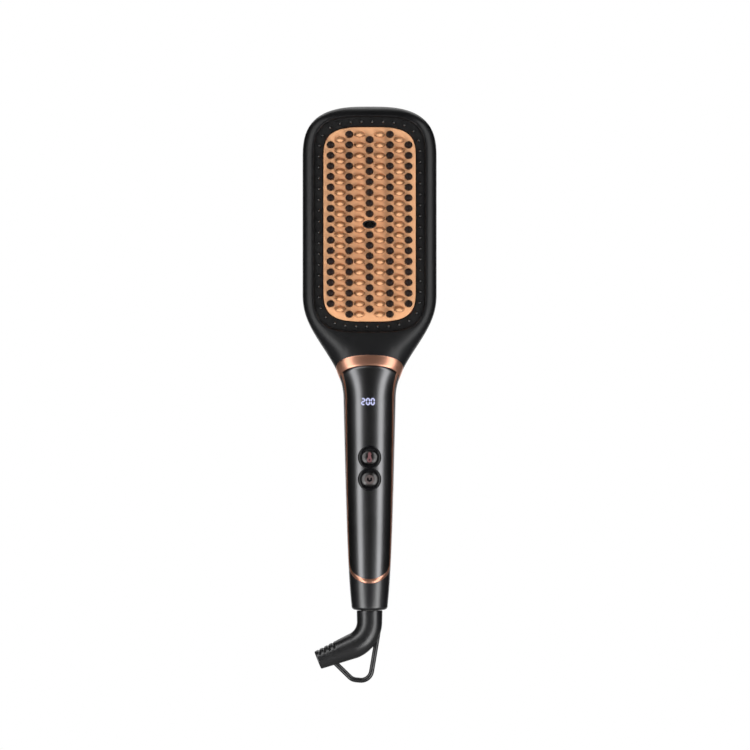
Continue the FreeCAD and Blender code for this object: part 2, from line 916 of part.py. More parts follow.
def swivel_drum():
    flange_bottom = tail_floor + bush_flange_thickness + drum_lift
    shaft = rod_z(shaft_radius, (-drum_socket, flange_bottom))
    flange = rod_z(drum_flange_radius, (flange_bottom, flange_bottom + drum_flange_thickness))
    body = rod_z(drum_body_radius, (flange_bottom, drum_body_top))
    pin = rod_z(drum_pin_radius, (drum_body_top, drum_pin_top))
    return shaft.multiFuse([flange, body, pin]).removeSplitter()


def slip_ring(inner_radius, bottom):
    return tube_z(inner_radius + ring_thickness, inner_radius, (bottom, bottom + ring_width))


def contact_holder():
    bottom = ledge_bottom + ledge_thickness
    disc = tube_z(neck_radius, holder_hole, (bottom, bottom + holder_thickness))
    return disc.common(lower_form(wall + inner_clearance, tail_floor, inner_stations))


# Each contact has a leaf beside its ring and a foot on the holder.
def contact_springs():
    top = ledge_bottom + ledge_thickness + holder_thickness
    half = contact_width / 2
    outer_face = drum_body_radius + ring_thickness + contact_gap
    inner_face = drum_pin_radius + ring_thickness + contact_gap
    foot_end = outer_face + contact_foot
    leaf_outer = box((outer_face, outer_face + contact_thickness), (-half, half),
                     (outer_ring_bottom, top + contact_thickness))
    foot_outer = box((outer_face, foot_end), (-half, half), (top, top + contact_thickness))
    leaf_inner = box((-inner_face - contact_thickness, -inner_face), (-half, half),
                     (top, inner_ring_bottom + ring_width))
    foot_inner = box((-foot_end, -inner_face), (-half, half), (top, top + contact_thickness))
    return [leaf_outer.fuse(foot_outer).removeSplitter(), leaf_inner.fuse(foot_inner).removeSplitter()]


def boot_direction():
    angle = math.radians(boot_bend_angle)
    return Vector(-math.sin(angle), 0, -math.cos(angle))


def boot_bend_end():
    angle = math.radians(boot_bend_angle)
    return Vector(boot_bend_radius * (math.cos(angle) - 1), 0,
                  -boot_drop - boot_bend_radius * math.sin(angle))


def cord_boot():
    top = -boot_gap
    collar = Part.makeCone(boot_bend_tube, boot_radius, boot_drop + top, Vector(0, 0, -boot_drop))
    ring = Part.Face(Part.Wire([Part.makeCircle(boot_bend_tube, Vector(0, 0, -boot_drop))]))
    bend = ring.revolve(Vector(-boot_bend_radius, 0, -boot_drop), Vector(0, 1, 0), boot_bend_angle)
    bend_end = boot_bend_end()
    direction = boot_direction()
    tip = Part.makeCone(boot_bend_tube, boot_end_radius, boot_straight, bend_end, direction)
    loop = strand([Vector(x, 0, z) for x, z in loop_route], loop_radius, loop_bend)
    boot = collar.multiFuse([bend, tip, loop])
    mouth = bend_end + direction * boot_straight
    bore = Part.makeCylinder(cord_radius, cord_bore_depth, mouth, direction * -1)
    return boot.cut(bore).cut(rod_z(shaft_radius, (-drum_socket, 0)))


# ================================================================ leads

def heater_leads():
    back = heater_back + terminal_rise
    top = plate_centre - terminal_drop
    low = board_top - heater_lead_drop
    side = inner_tooth_column
    leads = []
    for sign in (-1, 1):
        x = sign * side
        route = [Vector(x, back, top), Vector(x, lead_depth, top),
                 Vector(x, lead_depth, low), Vector(x, board_back, low)]
        leads.append(strand(route, lead_radius, lead_bend / 2))
    return leads


def mains_leads():
    foot = ledge_bottom + ledge_thickness + holder_thickness + contact_thickness
    x_foot = drum_body_radius + ring_thickness + contact_gap + contact_foot / 2
    side = board_width / 2 - mains_lead_inset
    end = board_bottom + mains_lead_lift
    leads = []
    for sign in (-1, 1):
        route = [Vector(sign * x_foot, 0, foot), Vector(sign * x_foot, 0, foot + mains_lead_rise),
                 Vector(sign * side, lead_depth, end), Vector(sign * side, board_back, end)]
        leads.append(strand(route, lead_radius, lead_bend / 2))
    return leads


def ion_lead():
    start = plate_centre - ion_module_size[2] / 2
    depth = ion_module_front() + ion_module_size[1] / 2
    low = board_top - ion_lead_drop
    route = [Vector(0, depth, start), Vector(0, depth, low), Vector(0, board_back, low)]
    return strand(route, lead_radius, lead_bend)


# ================================================================ assembly

outer = body_form(0, 0, outer_stations, outer_angles).cut(tail_rounding())
inner = body_form(wall, tail_floor, inner_stations, inner_angles)
collar_region = above_plane(collar_lower_height, collar_lower_slope)
collar_region = collar_region.cut(above_plane(collar_upper_height, collar_upper_slope))
head_wall = outer.cut(inner).common(above_plane(collar_upper_height, collar_upper_slope))
tongue_core = crown_form(wall + tongue_thickness, inner_angles)
handle_hull = handle_wall()
trim_skin = handle_hull.cut(lower_form(trim_thickness, 0, inner_stations))
trim = handle_trim()
head_screw_places = [(-head_screw_side, head_screw_height), (head_screw_side, head_screw_height)]

os.makedirs("parts", exist_ok=True)
save("head_front_shell", head_front_shell())
save("head_rear_shell", head_rear_shell())
save("neck_collar", neck_collar())
save("handle_rear_shell", handle_rear_shell())
save("handle_front_panel", handle_front_panel())
save("handle_trim", trim)
save("button_bezel", button_bezel())
save("heater_plate", heater_plate())
save("guard_comb", guard_comb())
save("plate_gasket", plate_gasket())
save("bristle_carrier", bristle_carrier())
save("heater_left", heater(-inner_tooth_column))
save("heater_right", heater(inner_tooth_column))
save("heater_clamp", heater_clamp())
save("insulation_sheet", insulation_sheet())
save("clamp_screws", Part.makeCompound(clamp_screws()))
save("thermistor", leaded_part(thermistor_radius, thermistor_length, thermistor_place))
save("thermal_fuse", leaded_part(fuse_radius, fuse_length, fuse_place))
save("ion_nozzle", ion_nozzle())
save("ion_needle", ion_needle())
save("ion_module", ion_module())
save("main_board", main_board())
save("board_screws", Part.makeCompound(board_screws()))
save("display_module", display_module())
save("capacitor", capacitor())
save("power_triac", power_triac())
save("head_screws", Part.makeCompound(shell_screws(head_screw_places)))
save("handle_screws", Part.makeCompound(shell_screws([(0.0, h) for h in handle_screw_heights])))
for label, button_height in zip(("power", "temperature"), button_heights[::-1]):
    save(label + "_button_cap", button_cap(button_height))
    save(label + "_switch_plunger", plunger(button_height))
    save(label + "_switch", switch_housing(button_height))
save("tail_bush", tail_bush())
save("contact_holder", contact_holder())
save("contact_springs", Part.makeCompound(contact_springs()))
save("swivel_drum", swivel_drum())
save("slip_ring_outer", slip_ring(drum_body_radius, outer_ring_bottom))
save("slip_ring_inner", slip_ring(drum_pin_radius, inner_ring_bottom))
save("cord_boot", cord_boot())
save("heater_leads", Part.makeCompound(heater_leads()))
save("mains_leads", Part.makeCompound(mains_leads()))
save("ion_lead", ion_lead())
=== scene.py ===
import json
import math

import bmesh
import bpy
import numpy as np
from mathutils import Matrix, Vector


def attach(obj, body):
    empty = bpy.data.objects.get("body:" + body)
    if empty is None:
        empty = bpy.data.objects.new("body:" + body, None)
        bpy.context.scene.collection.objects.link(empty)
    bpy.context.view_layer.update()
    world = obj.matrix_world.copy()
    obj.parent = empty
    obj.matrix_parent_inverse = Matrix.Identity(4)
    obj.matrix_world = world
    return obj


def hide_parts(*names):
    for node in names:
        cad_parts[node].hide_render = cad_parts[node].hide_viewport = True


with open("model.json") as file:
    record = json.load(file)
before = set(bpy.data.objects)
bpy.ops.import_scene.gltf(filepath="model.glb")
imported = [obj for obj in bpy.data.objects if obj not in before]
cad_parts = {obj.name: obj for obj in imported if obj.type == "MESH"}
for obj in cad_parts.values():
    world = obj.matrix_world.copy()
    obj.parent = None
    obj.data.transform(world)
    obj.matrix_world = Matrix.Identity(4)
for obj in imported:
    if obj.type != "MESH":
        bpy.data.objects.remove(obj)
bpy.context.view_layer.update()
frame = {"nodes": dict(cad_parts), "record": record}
print("frame loaded:", len(frame["nodes"]), "nodes")

# Shapes are worked out in millimetres: x across, y from the bristles (-) to the back (+),
# h up from the tail of the handle. The frame's origin is in the middle of the grip.
gripHeight = 67.0
millimetre = 0.001
tiny = 1e-9     # keeps divisors and powers away from zero


# Node groups shared by the finishes.

# an empty shader group with the given inputs and one value output
def newGroup(name, inputs, output):
    group = bpy.data.node_groups.new(name, "ShaderNodeTree")
    for label, kind, value in inputs:
        socket = group.interface.new_socket(label, in_out="INPUT", socket_type=kind)
        if value is not None:
            socket.default_value = value
    group.interface.new_socket(output, in_out="OUTPUT", socket_type="NodeSocketFloat")
    start = group.nodes.new("NodeGroupInput")
    end = group.nodes.new("NodeGroupOutput")
    return group, start, end


# sets a node's sockets by their names, with _ for a space
def setSockets(node, **values):
    for label, value in values.items():
        node.inputs[label.replace("_", " ")].default_value = value


# a new node with its operation and its sockets set
def addNode(tree, kind, operation=None, **values):
    node = tree.nodes.new(kind)
    if operation:
        node.operation = operation
    setSockets(node, **values)
    return node


# links, each given as node, output, node, input
def linkAll(tree, *links):
    for source, output, target, label in links:
        tree.links.new(source.outputs[output], target.inputs[label])


# cloudy value between Low and High, for uneven gloss and colour
def mottleGroup():
    group, start, end = newGroup("Mottle", [
        ("Vector", "NodeSocketVector", None),
        ("Scale", "NodeSocketFloat", 60.0),
        ("Low", "NodeSocketFloat", 0.0),
        ("High", "NodeSocketFloat", 1.0),
    ], "Value")
    noise = addNode(group, "ShaderNodeTexNoise", Detail=5.0)
    spread = addNode(group, "ShaderNodeMapRange", From_Min=0.3, From_Max=0.7)
    linkAll(group, (start, "Vector", noise, "Vector"), (start, "Scale", noise, "Scale"),
            (noise, "Fac", spread, "Value"), (start, "Low", spread, "To Min"),
            (start, "High", spread, "To Max"), (spread, "Result", end, "Value"))
    return group


# height of a fine grain: small cells with a little noise over them, stretched along h by Stretch
def grainGroup():
    group, start, end = newGroup("FineGrain", [
        ("Vector", "NodeSocketVector", None),
        ("Scale", "NodeSocketFloat", 1400.0),
        ("Stretch", "NodeSocketFloat", 1.0),
    ], "Height")
    stretch = addNode(group, "ShaderNodeCombineXYZ", X=1.0, Y=1.0)
    scaled = addNode(group, "ShaderNodeVectorMath", operation="MULTIPLY")
    noise = addNode(group, "ShaderNodeTexNoise", Detail=3.0)
    cells = addNode(group, "ShaderNodeTexVoronoi")
    both = addNode(group, "ShaderNodeMath", operation="MULTIPLY")
    for texture in (noise, cells):
        linkAll(group, (scaled, "Vector", texture, "Vector"), (start, "Scale", texture, "Scale"))
    linkAll(group, (start, "Stretch", stretch, "Z"), (start, "Vector", scaled, 0),
            (stretch, "Vector", scaled, 1), (noise, "Fac", both, 0), (cells, "Distance", both, 1),
            (both, "Value", end, "Height"))
    return group


groups = {"mottle": mottleGroup(), "grain": grainGroup()}


# Finishes.

# places a shared group in a material's tree, fed with object coordinates and its own values
def placeGroup(tree, group, coordinates, **values):
    node = tree.nodes.new("ShaderNodeGroup")
    node.node_tree = group
    tree.links.new(coordinates.outputs["Object"], node.inputs["Vector"])
    setSockets(node, **values)
    return node


# one finish: two close colours clouded into each other, uneven gloss in smaller clouds, and a fine
# grain whose relief is in metres
def makeFinish(name, colour, shade, roughness, metallic=0.0, clouds=45.0,
               grain=1400.0, stretch=1.0, relief=0.00001, **sockets):
    material = bpy.data.materials.new(name)
    material.use_nodes = True
    tree = material.node_tree
    surface = tree.nodes["Principled BSDF"]
    setSockets(surface, Metallic=metallic, **sockets)
    coordinates = tree.nodes.new("ShaderNodeTexCoord")
    cloud = placeGroup(tree, groups["mottle"], coordinates, Scale=clouds)
    colours = tree.nodes.new("ShaderNodeMix")
    colours.data_type = "RGBA"
    setSockets(colours, A=(*colour, 1.0), B=(*shade, 1.0))
    gloss = placeGroup(tree, groups["mottle"], coordinates,
                       Scale=clouds * 3, Low=roughness[0], High=roughness[1])
    height = placeGroup(tree, groups["grain"], coordinates, Scale=grain, Stretch=stretch)
    bump = addNode(tree, "ShaderNodeBump", Distance=relief)
    linkAll(tree, (cloud, "Value", colours, "Factor"), (colours, "Result", surface, "Base Color"),
            (gloss, "Value", surface, "Roughness"), (height, "Height", bump, "Height"),
            (bump, "Normal", surface, "Normal"))
    return material


finishSettings = {
    "shell_black": {"colour": (0.004, 0.004, 0.0045), "shade": (0.006, 0.006, 0.0065),
                    "roughness": (0.36, 0.42), "relief": 0.00002},
    "handle_black": {"colour": (0.004, 0.004, 0.005), "shade": (0.006, 0.006, 0.007),
                     "roughness": (0.31, 0.34), "relief": 0.000006, "IOR": 1.75, "Specular_IOR_Level": 1.0},
    "panel_gunmetal": {"colour": (0.21, 0.21, 0.216), "shade": (0.24, 0.24, 0.246), "metallic": 1.0,
                       "roughness": (0.29, 0.31), "grain": 2600.0, "stretch": 0.03, "relief": 0.000002},
    "rose_gold": {"colour": (0.90, 0.44, 0.30), "shade": (0.93, 0.47, 0.32), "metallic": 0.95,
                  "roughness": (0.31, 0.33), "grain": 2200.0, "relief": 0.000002},
    "copper_coating": {"colour": (0.74, 0.39, 0.20), "shade": (0.69, 0.355, 0.178), "metallic": 0.1,
                       "roughness": (0.38, 0.46), "clouds": 25.0, "relief": 0.000012},
    "bristle_black": {"colour": (0.009, 0.004, 0.003), "shade": (0.013, 0.006, 0.004),
                      "roughness": (0.40, 0.48), "Specular_IOR_Level": 0.3},
    "comb_black": {"colour": (0.006, 0.006, 0.0065), "shade": (0.009, 0.009, 0.009),
                   "roughness": (0.45, 0.55), "relief": 0.00002},
    "pin_black": {"colour": (0.006, 0.006, 0.0065), "shade": (0.009, 0.009, 0.009),
                  "roughness": (0.22, 0.26), "IOR": 1.65, "Specular_IOR_Level": 1.0},
    "seal_rubber": {"colour": (0.20, 0.035, 0.025), "shade": (0.16, 0.028, 0.02),
                    "roughness": (0.6, 0.7)},
    "boot_rubber": {"colour": (0.006, 0.006, 0.0065), "shade": (0.009, 0.009, 0.0095),
                    "roughness": (0.30, 0.35), "IOR": 1.58, "Specular_IOR_Level": 1.0},
    "heater_ceramic": {"colour": (0.72, 0.70, 0.66), "shade": (0.64, 0.62, 0.58), "roughness": (0.5, 0.65)},
    "spring_steel": {"colour": (0.62, 0.62, 0.63), "shade": (0.52, 0.52, 0.54), "metallic": 1.0,
                     "roughness": (0.25, 0.38), "stretch": 0.05},
    "mica": {"colour": (0.62, 0.55, 0.40), "shade": (0.52, 0.45, 0.31), "roughness": (0.35, 0.6),
             "clouds": 160.0, "relief": 0.00004},
    "board_green": {"colour": (0.02, 0.12, 0.05), "shade": (0.03, 0.17, 0.07), "roughness": (0.3, 0.4),
                    "clouds": 400.0},
    "part_black": {"colour": (0.012, 0.012, 0.013), "shade": (0.02, 0.02, 0.021),
                   "roughness": (0.42, 0.52)},
    "part_white": {"colour": (0.74, 0.73, 0.69), "shade": (0.68, 0.67, 0.63), "roughness": (0.4, 0.5)},
    "capacitor_blue": {"colour": (0.02, 0.04, 0.16), "shade": (0.03, 0.05, 0.2), "roughness": (0.2, 0.3)},
    "screw_steel": {"colour": (0.50, 0.50, 0.52), "shade": (0.42, 0.42, 0.44), "metallic": 1.0,
                    "roughness": (0.3, 0.42)},
    "contact_brass": {"colour": (0.76, 0.55, 0.22), "shade": (0.68, 0.47, 0.18), "metallic": 1.0,
                      "roughness": (0.2, 0.32)},
    "button_black": {"colour": (0.09, 0.088, 0.088), "shade": (0.105, 0.102, 0.101), "metallic": 1.0,
                     "roughness": (0.28, 0.34)},
    "bezel_black": {"colour": (0.003, 0.003, 0.0035), "shade": (0.005, 0.005, 0.0055),
                    "roughness": (0.14, 0.2), "Specular_IOR_Level": 0.3},
    "display_smoke": {"colour": (0.008, 0.008, 0.01), "shade": (0.012, 0.012, 0.015),
                      "roughness": (0.1, 0.16)},
    "digit_glow": {"colour": (0.02, 0.02, 0.03), "shade": (0.03, 0.03, 0.04), "roughness": (0.3, 0.4),
                   "Emission_Color": (0.55, 0.58, 0.88, 1.0), "Emission_Strength": 1.0},
    "icon_red": {"colour": (0.12, 0.05, 0.054), "shade": (0.10, 0.045, 0.048), "roughness": (0.4, 0.5)},
    "icon_pale": {"colour": (0.055, 0.042, 0.041), "shade": (0.075, 0.058, 0.056), "roughness": (0.4, 0.5)},
    "lead_red": {"colour": (0.42, 0.03, 0.02), "shade": (0.34, 0.025, 0.018), "roughness": (0.45, 0.55)},
    "lead_blue": {"colour": (0.03, 0.07, 0.30), "shade": (0.025, 0.055, 0.24), "roughness": (0.45, 0.55)},
    "bead_glass": {"colour": (0.70, 0.30, 0.16), "shade": (0.62, 0.26, 0.13), "roughness": (0.06, 0.12),
                   "relief": 0.0, "Transmission_Weight": 0.6},
}
finishes = {name: makeFinish(name, **settings) for name, settings in finishSettings.items()}

# nodes that no piece replaces are shown as they are, in the finish of their slot
for part in frame["record"]["subparts"]:
    materials = frame["nodes"][part["node"]].data.materials
    materials.clear()
    materials.append(finishes[part["material_slot"]])
print("finishes made:", len(finishes))


# The body's outer form.

form = {
    "length": 285.9, "halfWidth": 38.05, "halfDepth": 12.5,
    "crownDepth": 30.2, "crownPower": 2.87,     # rounded top end, seen from the front
    "rollDepth": 12.0, "rollPower": 2.3,        # the same end, seen from the side
    "neckHeight": 119.0, "shoulderLength": 60.0,
    "neckRadius": 14.82, "tailRadius": 10.03, "turnIn": 2.0, "turnHeight": 22.0,
    "frontPower": 4.8, "backPower": 3.0,
    "roundHeight": 142.0, "squareLength": 28.0,     # below these sections are plain ovals
}


# the value that lies at this share of the way from low to high
def mix(low, high, share):
    return low + (high - low) * share


# a straight taper, less a curve that fades out above the tail
def handleRadius(h):
    h = np.minimum(h, form["neckHeight"])
    taper = (form["neckRadius"] - form["tailRadius"] - form["turnIn"]) * (1 - h / form["neckHeight"])
    return form["neckRadius"] - taper - form["turnIn"] * np.exp(-h / form["turnHeight"])


# 0 at the neck, 1 at the head: half smoothstep, half smootherstep
def shoulderShare(h):
    t = np.clip((h - form["neckHeight"]) / form["shoulderLength"], 0, 1)
    return (t * t * (3 - 2 * t) + t ** 3 * (t * (6 * t - 15) + 10)) / 2


# 1, then the quarter of a superellipse that closes the end
def closing(h, top, depth, power):
    t = np.clip((h - top + depth) / depth, 0, 1)
    return (1 - t ** power) ** (1 / power)


# half width and half depth of the section at h, grown outwards
def sectionSize(h, grow=0.0):
    share = shoulderShare(h)
    top = form["length"] + grow
    across = closing(h, top, form["crownDepth"] + grow, form["crownPower"])
    through = closing(h, top, form["rollDepth"] + grow, form["rollPower"])
    width = (mix(handleRadius(h), form["halfWidth"], share) + grow) * across
    depth = (mix(handleRadius(h), form["halfDepth"], share) + grow) * through
    return width, depth


# exponent of the section: 2, a plain oval, on the handle, and a squarer superellipse at the head
def sectionPower(h, back):
    t = np.clip((h - form["roundHeight"]) / form["squareLength"], 0, 1)
    return mix(2.0, np.where(back, form["backPower"], form["frontPower"]), t * t * (3 - 2 * t))


# the section's point at an angle: a direction cut off by the unit superellipse, then drawn out to
# the section's half width and half depth
def sectionPoint(h, angle, grow=0.0):
    along, out = np.cos(angle), np.sin(angle)
    power = sectionPower(h, out > 0)
    size = (np.abs(along) ** power + np.abs(out) ** power) ** (1 / power)
    width, depth = sectionSize(h, grow)
    return width * along / size, depth * out / size


# share of one half axis that a superellipse leaves at a place on the other:
# (1 - |place / size|^power)^(1 / power)
def leftOver(place, size, power):
    inside = np.clip(1 - (np.abs(place) / np.maximum(size, tiny)) ** power, 0, 1)
    return inside ** (1 / power)


# y of the surface at (x, h)
def surfaceDepth(x, h, back=False):
    width, depth = sectionSize(h)
    y = depth * leftOver(x, width, sectionPower(h, back))
    return y if back else -y


# x of the surface at (y, h) on the front half
def surfaceSide(y, h):
    width, depth = sectionSize(h)
    return width * leftOver(y, depth, sectionPower(h, False))


# angle where the section's surface reaches y: tan = (w / (1 - w))^(1 / power) with w = |y / depth|^power
def angleAtDepth(h, y):
    power = sectionPower(h, y > 0)
    w = np.clip(np.abs(y / np.maximum(sectionSize(h)[1], tiny)) ** power, 0, 1 - tiny)
    return np.arctan((w / (1 - w)) ** (1 / power))


# the last value between low and high that passes the test, by halving
def lastInside(test, low, high, halvings=48):
    for _ in range(halvings):
        middle = (low + high) / 2
        inside = test(middle)
        low = np.where(inside, middle, low)
        high = np.where(inside, high, middle)
    return low


# the value that a formula gives back unchanged, by feeding each result in again
def settle(formula, value, rounds=30):
    for _ in range(rounds):
        value = formula(value)
    return value


# height where the section's angle meets a plane that leans forwards
def planeHeight(angle, height, slope):
    return settle(lambda h: height - slope * sectionPoint(h, angle)[1], np.full_like(angle, height))


# Mesh tools.

# a surface from arrays of rows by columns, with quads between neighbours
def gridPart(x, y, h, wrap=False):
    x, y, h = np.broadcast_arrays(x, y, h)
    rows, columns = x.shape
    row = np.arange(rows - 1)[:, None] * columns
    column = np.arange(columns if wrap else columns - 1)[None, :]
    corner = row + column
    beside = row + (column + 1) % columns
    faces = np.stack([corner, beside, beside + columns, corner + columns], axis=-1).reshape(-1, 4)
    return np.stack([x, y, h], axis=-1).reshape(-1, 3), faces


# angles at equal steps round a full turn, as one row
def fullTurn(count):
    return np.linspace(0, 2 * math.pi, count, endpoint=False)[None, :]


# rows of points from several stretches, each given as x, y and h
def stretches(*pieces):
    spread = [np.broadcast_arrays(*piece) for piece in pieces]
    return [np.concatenate(values) for values in zip(*spread)]


# several parts as one, with the faces counted on
def joinParts(parts):
    starts = np.cumsum([0] + [len(points) for points, _ in parts[:-1]])
    points = np.concatenate([points for points, _ in parts])
    faces = np.concatenate([faces + start for (_, faces), start in zip(parts, starts)])
    return points, faces


# the same part at every place, a place being (x, y, h)
def repeatPart(part, places):
    points, faces = part
    places = np.asarray(places, float)
    moved = (places[:, None, :] + points[None]).reshape(-1, 3)
    starts = np.arange(len(places)) * len(points)
    return moved, (starts[:, None, None] + faces[None]).reshape(-1, 4)


# a profile of (radius, y) turned about an axis along y through (x, h), widthways by aspect
def turnedPart(profile, x=0.0, h=0.0, sides=48, aspect=1.0):
    profile = np.asarray(profile, float)
    angle = fullTurn(sides)
    radius, y = profile[:, :1], profile[:, 1:]
    return gridPart(x + radius * np.cos(angle) * aspect, y, h + radius * np.sin(angle), wrap=True)


# merges doubles, so that seams and poles close, and turns the faces outwards
def closeSeams(mesh, mergeDistance=2e-6):
    shape = bmesh.new()
    shape.from_mesh(mesh)
    bmesh.ops.remove_doubles(shape, verts=shape.verts, dist=mergeDistance)
    bmesh.ops.recalc_face_normals(shape, faces=shape.faces)
    shape.to_mesh(mesh)
    shape.free()


# rounds the shading, apart from edges that bend by more than the angle
def smooth(mesh, sharpAngle=35.0):
    mesh.shade_smooth()
    mesh.set_sharp_from_angle(angle=math.radians(sharpAngle))


# an object in the scene from parts in millimetres
def makeObject(name, parts):
    points, faces = joinParts(parts)
    mesh = bpy.data.meshes.new(name)
    mesh.from_pydata(((points - [0, 0, gripHeight]) * millimetre).tolist(), [], faces.tolist())
    closeSeams(mesh)
    made = bpy.data.objects.new(name, mesh)
    bpy.context.scene.collection.objects.link(made)
    return made


# one piece of the scene, with its finish, its wall if it has one, its body and the nodes it stands for
def makePiece(name, parts, finish, body="brush", nodes=(), wall=0.0):
    piece = makeObject(name, parts)
    smooth(piece.data)
    piece.data.materials.append(finishes[finish])
    if wall:
        thickness = piece.modifiers.new("wall", "SOLIDIFY")
        thickness.thickness = wall * millimetre
        thickness.offset = -1.0
        thickness.use_even_offset = False
    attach(piece, body)
    if nodes:
        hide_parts(*nodes)
    print("piece", name, len(piece.data.polygons), "faces")
    return piece


# cuts round holes along y through a finished piece
def cutRoundHoles(piece, places, radius, depthRange):
    low, high = depthRange
    profile = [(0, low), (radius, low), (radius, high), (0, high)]
    cutter = makeObject("cutter", [turnedPart(profile, x, h, sides=64) for x, h in places])
    cut = piece.modifiers.new("holes", "BOOLEAN")
    cut.operation = "DIFFERENCE"
    cut.solver = "EXACT"
    cut.object = cutter
    bpy.context.view_layer.update()
    evaluated = piece.evaluated_get(bpy.context.evaluated_depsgraph_get())
    result = bpy.data.meshes.new_from_object(evaluated)
    piece.modifiers.clear()
    piece.data = result
    smooth(result)
    bpy.data.objects.remove(cutter)


# Outlines of the plate and its channel.

fieldHeight = 218.9     # of the middle of the plate
plateOutline = {"halfWidth": 26.2, "halfHeight": 55.15, "end": 20.0, "power": 3.5, "centre": fieldHeight}
channelOutline = {"halfWidth": 31.3, "halfHeight": 60.9, "end": 25.5, "power": 3.5, "centre": fieldHeight}


# x and h round an outline with straight sides and superelliptic ends.
# turns counts 0 to 4: top end, left side, bottom end, right side
def outlinePoints(outline, turns, grow=0.0):
    part = np.floor(turns).astype(int) % 4
    share = turns - np.floor(turns)
    width = outline["halfWidth"] + grow
    straight = outline["halfHeight"] - outline["end"]
    along, up = np.cos(math.pi * share), np.abs(np.sin(math.pi * share))
    bend = 2 / outline["power"]
    endX = width * np.sign(along) * np.abs(along) ** bend
    endH = straight + (outline["end"] + grow) * up ** bend
    half = np.where(part < 2, 1.0, -1.0)
    onEnd = part % 2 == 0
    x = np.where(onEnd, endX, -width) * half
    h = np.where(onEnd, endH, straight * (1 - 2 * share)) * half
    return x, outline["centre"] + h


# turns at equal steps along the outline
def evenTurns(outline, count, grow=0.0):
    dense = np.linspace(0, 4, 8001)
    x, h = outlinePoints(outline, dense, grow)
    length = np.concatenate([[0], np.cumsum(np.hypot(np.diff(x), np.diff(h)))])
    return np.interp(np.arange(count) / count * length[-1], length, dense)


# Head shells.

head = {
    "seam": 1.0, "seamGap": 0.08,
    "collarHeight": 135.6, "collarSlope": 0.68,     # upper edge of the neck collar
    "endHeight": 134.2,                             # the shells end hidden under the collar
    "openingEdge": 1.2,                             # rounding of the channel's edge
    "channelFloor": -8.95, "wall": 1.4,
    "farOut": 90.0,                                 # beyond the silhouette from any point inside
    "besideCorner": 0.995,                          # share of the corner's slope from which a ray is beside
    "onEdge": 1e-3,                                 # distance that counts as on the silhouette
    "screwHeight": 152.0, "screwSide": 14.0, "holeDepths": (4.0, 20.0),
}


# half width of the corner between silhouette and lower end, and its drop below the field's middle
def frontCorner():
    return sectionSize(np.array(head["endHeight"]))[0], fieldHeight - head["endHeight"]


# Inside the head's front as seen from the front: within the silhouette and above its lower end. Rays
# from the middle that pass beside the corner between the two stop at the silhouette alone.
def insideFront(x, h):
    endLine = head["endHeight"] - head["collarSlope"] * surfaceDepth(x, h)
    cornerWidth, drop = frontCorner()
    beside = np.abs(x) * drop > head["besideCorner"] * cornerWidth * (fieldHeight - h)
    return (np.abs(x) < sectionSize(h)[0]) & (h < form["length"]) & ((h > endLine) | beside)


# columns round the channel, with one at each corner between silhouette and lower end
def frontColumns(count):
    turns = evenTurns(channelOutline, count, head["openingEdge"])
    cornerAngle = math.atan2(*frontCorner())
    for side in (-1, 1):
        dense = np.linspace(2, 3, 4001)
        x, h = outlinePoints(channelOutline, dense, head["openingEdge"])
        angle = np.arctan2(x * side, fieldHeight - h)
        corner = dense[np.argmin(np.abs(angle - cornerAngle))]
        turns[np.argmin(np.abs(turns - corner))] = corner
    return turns


# From the channel's wall over a rounded edge to the front's flat, then out along rays from the
# middle to the silhouette, with steps that shrink towards it, and on to the seam.
def headFrontParts():
    turns = frontColumns(288)
    edge = head["openingEdge"]
    x, h = outlinePoints(channelOutline, turns, edge)
    edgeDepth = surfaceDepth(x, h)
    across, up = x, h - fieldHeight
    start = np.hypot(across, up)
    across, up = across / start, up / start

    def at(distance):
        return across * distance, fieldHeight + up * distance

    end = lastInside(lambda distance: insideFront(*at(distance)), start, start + head["farOut"])
    endX, endH = at(end)
    onSilhouette = np.abs(endX) > sectionSize(endH)[0] - head["onEdge"]
    onSilhouette |= endH > form["length"] - head["onEdge"]

    bend = np.linspace(0, math.pi / 2, 6)[:, None]
    bendX, bendH = outlinePoints(channelOutline, turns[None], edge * (1 - np.cos(bend)))
    bendY = edgeDepth + edge * (1 - np.sin(bend))
    wallX, wallH = outlinePoints(channelOutline, turns[None])

    step = np.linspace(0, 1, 30)[1:, None]
    share = 1 - (1 - step) ** 4
    flatX, flatH = at(mix(start, end, share))
    flatY = surfaceDepth(flatX, flatH)
    flatY[-1] = np.where(onSilhouette, 0.0, flatY[-1])
    front = gridPart(*stretches(
        (wallX, head["channelFloor"], wallH), (bendX, bendY, bendH), (flatX, flatY, flatH),
    ), wrap=True)

    levels = np.linspace(0, head["seam"] - head["seamGap"], 4)[1:, None]
    rimEnd = lastInside(lambda distance: surfaceDepth(*at(distance), back=True) > levels,
                        start + 0 * levels, end + 0 * levels)
    rimX, rimH = at(rimEnd)
    points, faces = gridPart(*stretches((endX[None], 0.0, endH[None]), (rimX, levels, rimH)), wrap=True)
    kept = onSilhouette[faces % len(turns)].all(axis=1)
    return [front, (points, faces[kept])]


